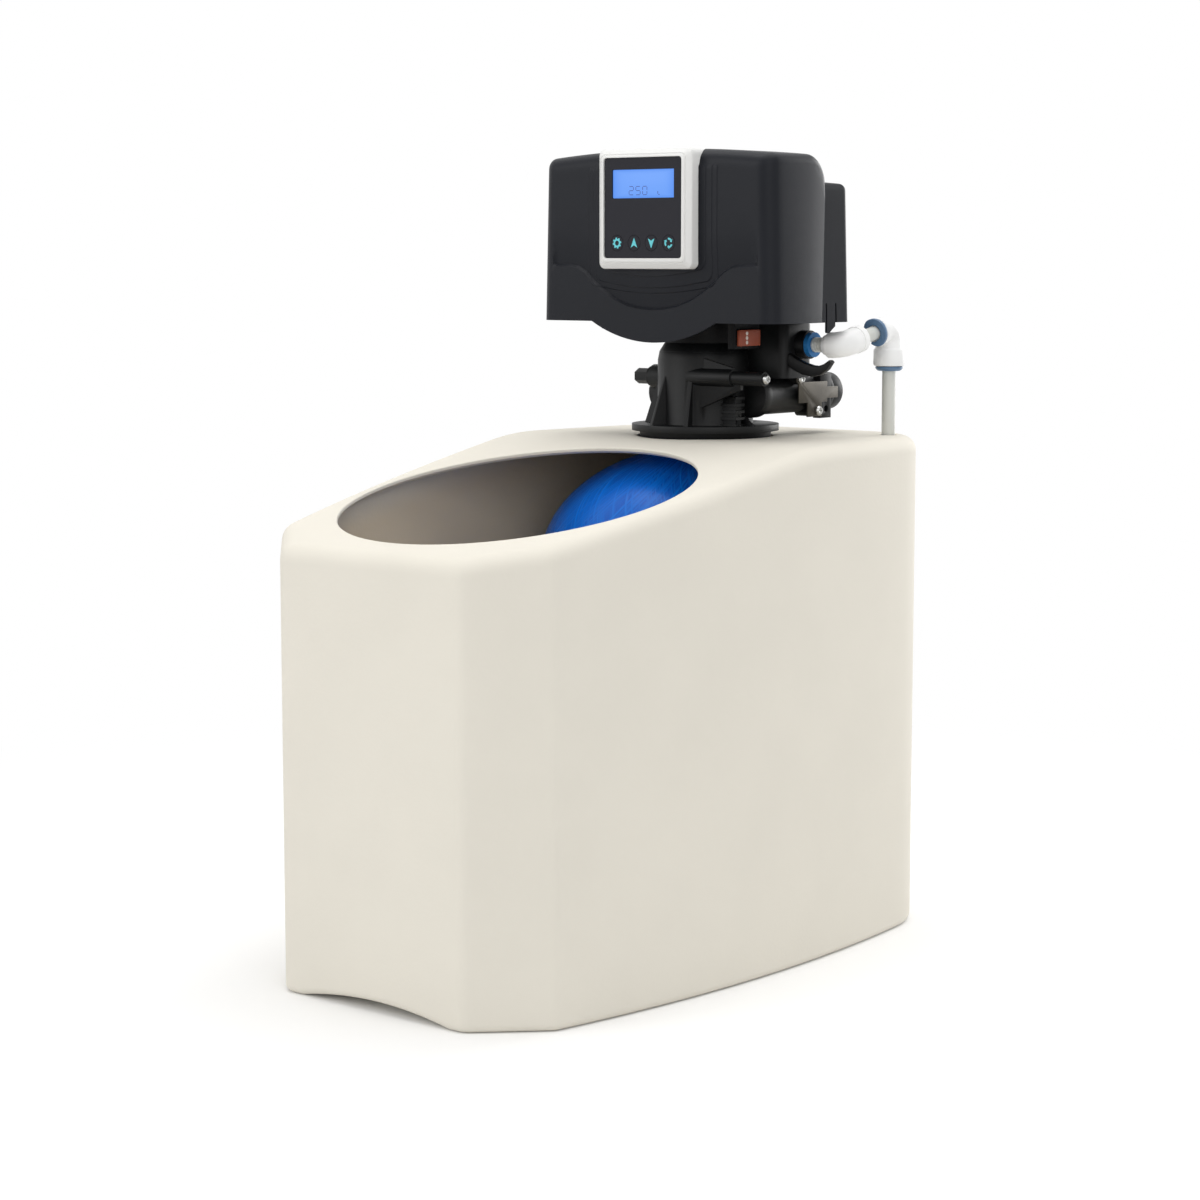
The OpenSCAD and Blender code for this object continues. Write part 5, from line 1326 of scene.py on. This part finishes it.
@dataclass
class Display:
    """The bezel, the matt panel, the lit window and the four keys."""
    front_y: float = 36.0
    depth: float = 21.5
    half_w: float = 40.5
    low: float = 461.0
    high: float = 542.0
    panel_half: float = 33.7
    panel_z: float = 502.1
    panel_in: float = 1.0
    panel_t: float = 1.7
    panel_r: float = 2.2
    window: Flat = (53.8, 19.2)
    window_z: float = 518.3
    lens_in: float = 0.7
    key_z: float = 478.5
    key_pitch: float = 15.0
    key_hole: float = 5.5
    icon_scale: float = 1.28

    def build(self) -> None:
        """Builds the bezel, panel, window, digits and icons."""
        self.build_bezel()
        self.build_panel()
        lit = LitGlass("lit_window", srgb(112, 164, 250), srgb(88, 146, 243), (0.0, self.window_z * MM),
                       (self.window[0] / 2 * MM, self.window[1] / 2 * MM))
        softened("lcd_module", lit, "lcd_blue", 0.15)
        dress(BOARD, "circuit_board")
        dress(SWITCH, "key_switches")
        self.build_digits()
        self.build_keys()

    def build_bezel(self) -> None:
        """Builds the pale frame, whose front slants back from the panel, with a fine groove round it."""
        draft = Draft()
        middle = (self.low + self.high) / 2
        half_h = (self.high - self.low) / 2

        def loop(inset: float, back: float, radius: float) -> list[Vector]:
            """One rounded rectangle, drawn in and set back from the front."""
            return [Vector((x, self.front_y + back, z + middle)) for x, z in
                    rounded_box(self.half_w - inset, half_h - inset, radius)]

        def pocket(grow: float, back: float) -> list[Vector]:
            """One loop of the pocket that holds the panel."""
            half = self.panel_half + grow
            return [Vector((x, self.front_y + back, z + self.panel_z)) for x, z in
                    rounded_box(half, half, self.panel_r + max(grow, -1.0))]
        outside = [(0.0, self.depth, 4.6), (0.0, 4.4, 4.6), (0.25, 3.6, 4.5), (0.8, 3.05, 4.3),
                   (3.5, 1.05, 3.6), (3.7, 1.35, 3.5), (4.1, 1.35, 3.4), (4.3, 0.6, 3.3), (5.0, 0.06, 3.1),
                   (5.4, 0.0, 3.0)]
        seat = self.panel_in + self.panel_t
        inside_rows = [(0.4, 0.0), (0.2, 0.2), (0.15, seat + 0.2), (-2.0, seat + 0.25), (-2.0, self.depth)]
        draft.loft([*[loop(*row) for row in outside], *[pocket(*row) for row in inside_rows]], joined=True)
        draft.piece("display_frame", BEZEL_GREY, "bezel_plastic", stands_for=["display_bezel"], crease=30)

    def build_panel(self) -> None:
        """Builds the panel's plate with its window and key holes."""
        draft = Draft()
        edge = 0.2
        front = self.front_y + self.panel_in
        back = front + self.panel_t

        def rim(inset: float) -> list[Flat]:
            """The plate's outline, drawn in."""
            return [(x, z + self.panel_z) for x, z in
                    rounded_box(self.panel_half - inset, self.panel_half - inset, self.panel_r - inset)]
        half_w, half_h = self.window[0] / 2, self.window[1] / 2
        window = [(x, z + self.window_z) for x, z in rounded_box(half_w, half_h, 0.3, 2)]
        keys = [arc(((i - 1.5) * self.key_pitch, self.key_z), self.key_hole, 0, 348.75, 31) for i in range(4)]
        draft.sheet([rim(edge), window, *keys], lambda x, z: (x, front, z))
        draft.sheet([rim(0.0), window, *keys], lambda x, z: (x, back, z))
        draft.loft([[(x, front, z) for x, z in rim(edge)], [(x, front + edge, z) for x, z in rim(0.0)],
                    [(x, back, z) for x, z in rim(0.0)]])
        for hole in (window, *keys):
            draft.loft([[(x, y, z) for x, z in hole] for y in (front, back)])
        draft.piece("panel_plate", PANEL_BLACK, "panel_gloss", stands_for=["display_panel"], crease=30)

    def build_digits(self) -> None:
        """Draws three faint figures and a unit bar on the lit window."""
        draft = Draft()
        segments = {"a": (0, 1, 1, 1), "b": (1, 0.5, 1, 1), "c": (1, 0, 1, 0.5), "d": (0, 0, 1, 0),
                    "e": (0, 0, 0, 0.5), "f": (0, 0.5, 0, 1), "g": (0, 0.5, 1, 0.5)}
        figures = {"2": "abged", "5": "afgcd", "0": "abcdef"}
        wide, tall, thick, pitch = 3.8, 5.6, 0.5, 5.9
        left, foot = -12.4, self.window_z - 7.4
        unit_x, unit = 12.6, (2.0, 2.6)
        y = self.front_y + self.panel_in + self.lens_in - 0.08
        for place, figure in enumerate("250"):
            start = left + pitch * place
            for name in figures[figure]:
                x0, z0, x1, z1 = segments[name]
                first = (start + wide * x0, foot + tall * z0)
                self.bar(draft, first, (start + wide * x1, foot + tall * z1), thick, y)
        for end in ((unit_x, foot + unit[1]), (unit_x + unit[0], foot)):
            self.bar(draft, (unit_x, foot), end, thick, y)
        draft.piece("window_figures", DIGIT, "lcd_blue")

    @staticmethod
    def bar(draft: Draft, first: Flat, last: Flat, thick: float, y: float) -> None:
        """Adds one short bar between two points of an upright plane."""
        run = (Vector(last) - Vector(first)).normalized()
        side = Vector((-run.y, run.x)) * thick / 2
        ends = [Vector(first) + run * thick * 0.7, Vector(last) - run * thick * 0.7]
        outline = [ends[0] - side, ends[1] - side, ends[1] + side, ends[0] + side]
        draft.loft([[(p.x, y + back, p.y) for p in outline] for back in (0.0, 0.1)], caps=True)

    def build_keys(self) -> None:
        """Dresses the keys and puts an icon on each."""
        y = self.front_y + self.panel_in - 0.06
        shapes = {"settings": self.cog(), "up": self.wedge(1), "down": self.wedge(-1),
                  "regenerate": self.cycle()}
        for place, (name, outlines) in enumerate(shapes.items()):
            x = (place - 1.5) * self.key_pitch
            dress(PANEL_BLACK, "key_" + name)
            draft = Draft()
            for outline in outlines:
                spots = [(x + px * self.icon_scale, self.key_z + pz * self.icon_scale) for px, pz in outline]
                draft.loft([[(px, y + back, pz) for px, pz in spots] for back in (0.0, 0.12)], caps=True)
            draft.piece("icon_" + name, ICON, "panel_gloss", "key_" + name)

    @staticmethod
    def wedge(way: int) -> list[list[Flat]]:
        """An arrowhead that points up or down."""
        return [[(-2.2, -2.4 * way), (0.0, -1.2 * way), (0.0, 2.8 * way)],
                [(2.2, -2.4 * way), (0.0, -1.2 * way), (0.0, 2.8 * way)]]

    @staticmethod
    def cog() -> list[list[Flat]]:
        """A toothed ring in eight sectors."""
        sectors = []
        for k in range(8):
            start = 45 * k
            tooth = arc((0, 0), 2.9, start, start + 22.5, 3)
            valley = arc((0, 0), 2.3, start + 22.5, start + 45, 3)
            sectors.append([*tooth, *valley, *arc((0, 0), 1.3, start + 45, start, 6)])
        return sectors

    @staticmethod
    def cycle() -> list[list[Flat]]:
        """Three bent arrows that chase each other."""
        shapes = []
        for k in range(3):
            start = 120 * k + 100
            shapes.append([*arc((0, 0), 2.7, start, start - 62, 6), *arc((0, 0), 1.7, start - 62, start, 6)])
            tip = arc((0, 0), 2.2, start - 92, start - 92, 1)[0]
            out = arc((0, 0), 3.3, start - 60, start - 60, 1)[0]
            back = arc((0, 0), 1.1, start - 60, start - 60, 1)[0]
            shapes.append([tip, out, back])
        return shapes


@dataclass
class BrineLine:
    """The push-fit brine line from the valve to the air check in the cabinet."""
    bend: Spot = (96.0, 135.0, 409.0)
    corner: Spot = (96.0, 193.0, 420.27)
    spigot_x: Flat = (73.0, 84.0)
    spigot_r: float = 4.76
    body_r: float = 8.9
    turn_r: float = 9.6
    leg: float = 22.0
    step_back: float = 20.0
    nut_z: Flat = (404.3, 393.3)
    nut_r: float = 11.0
    band: float = 0.5
    rib: float = 0.45
    clip_back: float = 18.4
    clip_r: Flat = (5.3, 10.0)
    clip_t: float = 2.8
    clip_gap: Flat = (-112.0, 172.0)
    ring: tuple[Flat, ...] = ((5.0, -0.3), (9.0, -0.3), (9.6, -0.6), (9.6, -1.6), (8.4, -3.0), (7.4, -3.4),
                              (5.0, -3.4))
    facets: int = 48

    def build(self) -> None:
        """Builds the fittings and dresses the tube and the check."""
        dress(CLIP_BLUE, "port_collet")
        self.build_spigots()
        self.build_stem_elbow()
        self.build_tube_elbow()
        self.build_clips()
        dress(TUBE_GREY, "brine_tube")
        dress(WHITE_INNER, "check_body", "check_cap")
        dress(BALL, "check_ball")

    def link(self) -> Vector:
        """The direction from the first elbow to the second."""
        return (Vector(self.corner) - Vector(self.bend)).normalized()

    def swept(self, draft: Draft, corner: Vector, start: Vector, end: Vector, first: Sequence[Flat],
              last: Sequence[Flat]) -> None:
        """Adds an elbow with a round bend.

        Args:
            draft: Where it is added.
            corner: Where its two axes meet.
            start: Direction from the corner to its first mouth.
            end: Direction from the corner to its second mouth.
            first: Distance from the corner and radius down the first leg, mouth first.
            last: The same down the second leg, mouth last.
        """
        path = [corner + start * reach for reach, _ in first]
        radii = [radius for _, radius in first]
        middle = corner + (start + end) * self.turn_r
        steps = 10
        for i in range(steps + 1):
            t = math.pi / 2 * i / steps
            path.append(middle - end * self.turn_r * math.cos(t) - start * self.turn_r * math.sin(t))
            radii.append(self.body_r)
        path += [corner + end * reach for reach, _ in last]
        radii += [radius for _, radius in last]
        draft.tube(path, radii)

    def build_spigots(self) -> None:
        """Builds the two thin ribbed stems."""
        draft = Draft()
        left, right = self.spigot_x
        low, high = self.spigot_r, self.spigot_r + self.rib
        profile = [(low, 0.0)]
        for i in range(4):
            rise = 1.2 + 2.2 * i
            profile += [(low, rise), (high, rise + 0.3), (high, rise + 0.9), (low, rise + 1.2)]
        profile.append((low, right - left))
        place = Matrix.Translation((left, self.bend[1], self.bend[2])) @ Matrix.Rotation(math.pi / 2, 4, "Y")
        draft.lathe(profile, place, 40)
        reach = self.link() * self.turn_r
        draft.tube([Vector(self.bend) + reach, Vector(self.corner) - reach], self.spigot_r)
        draft.piece("ribbed_spigots", TUBE_GREY, "white_plastic")

    def build_stem_elbow(self) -> None:
        """Builds the elbow that pushes into the valve's port."""
        draft = Draft()
        mouth = [(13.6, 4.9), (13.5, 6.1), (12.9, 6.9), (11.9, 7.3), (10.9, 7.0), (10.5, 6.6), (10.1, 7.4)]
        body, band = self.body_r, self.body_r + self.band
        leg = [(12.0, body), (16.2, body), (16.6, band), (self.leg - 0.7, band), (self.leg - 0.1, body),
               (self.leg, 5.2)]
        self.swept(draft, Vector(self.bend), Vector((-1, 0, 0)), self.link(), mouth, leg)
        draft.piece("stem_elbow_moulding", FITTING_WHITE, "white_plastic", stands_for=["stem_elbow"],
                    crease=38)

    def build_tube_elbow(self) -> None:
        """Builds the elbow that holds the tube, with its nut."""
        draft = Draft()
        body, band, end = self.body_r, self.body_r + self.band, self.step_back - 4.0
        mouth = [(end, 5.2), (end - 0.1, body), (end - 0.6, band), (11.2, band), (10.8, body), (10.2, body)]
        top, low = self.corner[2] - self.nut_z[0], self.corner[2] - self.nut_z[1]
        leg = [(10.5, body + 0.2), (top - 1.6, body + 0.9), (top - 1.2, self.nut_r - 0.9),
               (top - 0.6, self.nut_r - 0.2), (top, self.nut_r), (low - 1.4, self.nut_r + 0.1),
               (low - 0.4, self.nut_r - 0.3), (low, self.nut_r - 1.2), (low + 0.02, 5.2)]
        self.swept(draft, Vector(self.corner), -self.link(), Vector((0, 0, -1)), mouth, leg)
        draft.piece("tube_elbow_moulding", FITTING_WHITE, "white_plastic", stands_for=["tube_elbow"],
                    crease=38)

    def build_clips(self) -> None:
        """Builds the open locking clip on the link and the tapered one under the nut."""
        draft = Draft()
        along = self.link()
        middle = Vector(self.corner) - along * self.clip_back
        up = Vector((0, -along.z, along.y))
        inner, outer = self.clip_r
        rows = []
        steps = 44
        for i in range(steps + 1):
            share = i / steps
            turn = math.radians(self.clip_gap[0] + (self.clip_gap[1] - self.clip_gap[0]) * share)
            way = Vector((1, 0, 0)) * math.cos(turn) + up * math.sin(turn)
            taper = min(1.0, 0.35 + 4.0 * min(share, 1 - share))
            mean = (inner + outer) / 2
            half = (outer - inner) / 2 * taper
            outline = rounded_box(half, self.clip_t / 2, 0.5, 2)
            rows.append([middle + way * (mean + u) + along * v for u, v in outline])
        draft.loft(rows, caps=True)
        place = Matrix.Translation((self.corner[0], self.corner[1], self.nut_z[1]))
        draft.lathe(self.ring, place, self.facets)
        draft.faces[-2:] = []
        end = len(draft.points)
        start = end - len(self.ring) * self.facets
        draft.bridge(list(range(end - self.facets, end)), list(range(start, start + self.facets)))
        draft.piece("locking_clip_pair", RING_BLUE, "clip_blue", stands_for=["locking_clips"], crease=40)


@dataclass
class Studio:
    """The camera, the floor, the lamps and the white surroundings."""
    eye: Spot = (1.2078, -1.4441, 0.4703)
    turn: Flat = (90 - 7.02, 40.06)
    lens: float = 84.0
    sensor: float = 36.0
    floor_half: float = 6.0
    floor_fade: Flat = (0.45, 0.95)
    surround: float = 0.5

    def build(self) -> None:
        """Sets up everything round the object."""
        self.build_camera()
        self.build_floor()
        self.build_world()
        self.lamp("top_softbox", (0.1, 0.1, 2.4), (0.0, 0.0, 0.3), 2.4, 33.0)
        self.lamp("front_softbox", (-1.6, -2.4, 1.4), (0.0, 0.0, 0.3), 1.8, 20.5)
        self.lamp("side_softbox", (2.2, -1.7, 1.4), (0.0, 0.0, 0.3), 1.8, 11.0)
        self.lamp("rear_softbox", (0.35, 3.0, 0.9), (0.0, 0.0, 0.4), 1.4, 34.0)

    def build_camera(self) -> None:
        """Makes the camera at the photograph's place."""
        data = bpy.data.cameras.new("studio_camera")
        data.lens = self.lens
        data.sensor_width = self.sensor
        camera = bpy.data.objects.new("studio_camera", data)
        camera.location = self.eye
        camera.rotation_euler = (math.radians(self.turn[0]), 0.0, math.radians(self.turn[1]))
        bpy.context.scene.collection.objects.link(camera)
        bpy.context.scene.camera = camera

    def build_floor(self) -> None:
        """Makes the pale floor, white to the camera away from the object."""
        mesh = bpy.data.meshes.new("floor")
        half = self.floor_half
        corners = [(-half, -half, 0), (half, -half, 0), (half, half, 0), (-half, half, 0)]
        mesh.from_pydata(corners, [], [(0, 1, 2, 3)])
        floor = bpy.data.objects.new("floor", mesh)
        bpy.context.scene.collection.objects.link(floor)
        graph = ShaderGraph(bpy.data.materials.new("pale_floor"))
        point = graph.place()
        away = graph.node("VectorMath", {"operation": "LENGTH"}, {0: point}, 1)
        seen = graph.node("LightPath", {}, {}, 0)
        paint = graph.node("BsdfDiffuse", {}, {"Color": (0.86, 0.86, 0.86, 1.0)})
        pale = graph.node("BsdfDiffuse", {}, {"Color": WHITE})
        white = graph.node("Emission", {}, {"Color": WHITE, "Strength": 1.0})
        near = graph.node("MixShader", {}, {0: seen, 1: paint, 2: pale})
        far = graph.node("MixShader", {}, {0: seen * away.fade(*self.floor_fade), 1: near, 2: white})
        graph.node("OutputMaterial", {}, {"Surface": far})
        mesh.materials.append(graph.owner)

    def build_world(self) -> None:
        """Makes the surroundings: white where seen or mirrored, and plain light elsewhere."""
        world = bpy.data.worlds.new("studio_white")
        bpy.context.scene.world = world
        graph = ShaderGraph(world)
        rays = [graph.node("LightPath", {}, {}, index) for index in (0, 3, 6)]
        seen = rays[0].at_least(rays[1]).at_least(rays[2])
        light = graph.node("Background", {}, {"Color": WHITE, "Strength": self.surround})
        white = graph.node("Background", {}, {"Color": WHITE, "Strength": 1.0})
        both = graph.node("MixShader", {}, {0: seen, 1: light, 2: white})
        graph.node("OutputWorld", {}, {"Surface": both})

    @staticmethod
    def lamp(name: str, spot: Sequence[float], aim: Sequence[float], size: float, power: float) -> None:
        """Adds one square soft lamp.

        Args:
            name: Its name.
            spot: Where it hangs.
            aim: What it points at.
            size: Its side.
            power: Its power in watts.
        """
        data = bpy.data.lights.new(name, "AREA")
        data.energy = power
        data.size = size
        lamp = bpy.data.objects.new(name, data)
        lamp.location = spot
        lamp.rotation_euler = (Vector(aim) - Vector(spot)).to_track_quat("-Z", "Y").to_euler()
        bpy.context.scene.collection.objects.link(lamp)


def main() -> None:
    """Builds the studio and every sub-assembly in order."""
    logging.basicConfig(level=logging.INFO)
    bpy.context.scene.view_settings.view_transform = "Standard"
    Studio().build()
    for assembly in (Cabinet(), ResinTank(), ControlValve(), Drive(), Head(), Display(), BrineLine()):
        assembly.build()
        LOG.info("built %s", type(assembly).__name__)


if __name__ == "__main__":
    main()
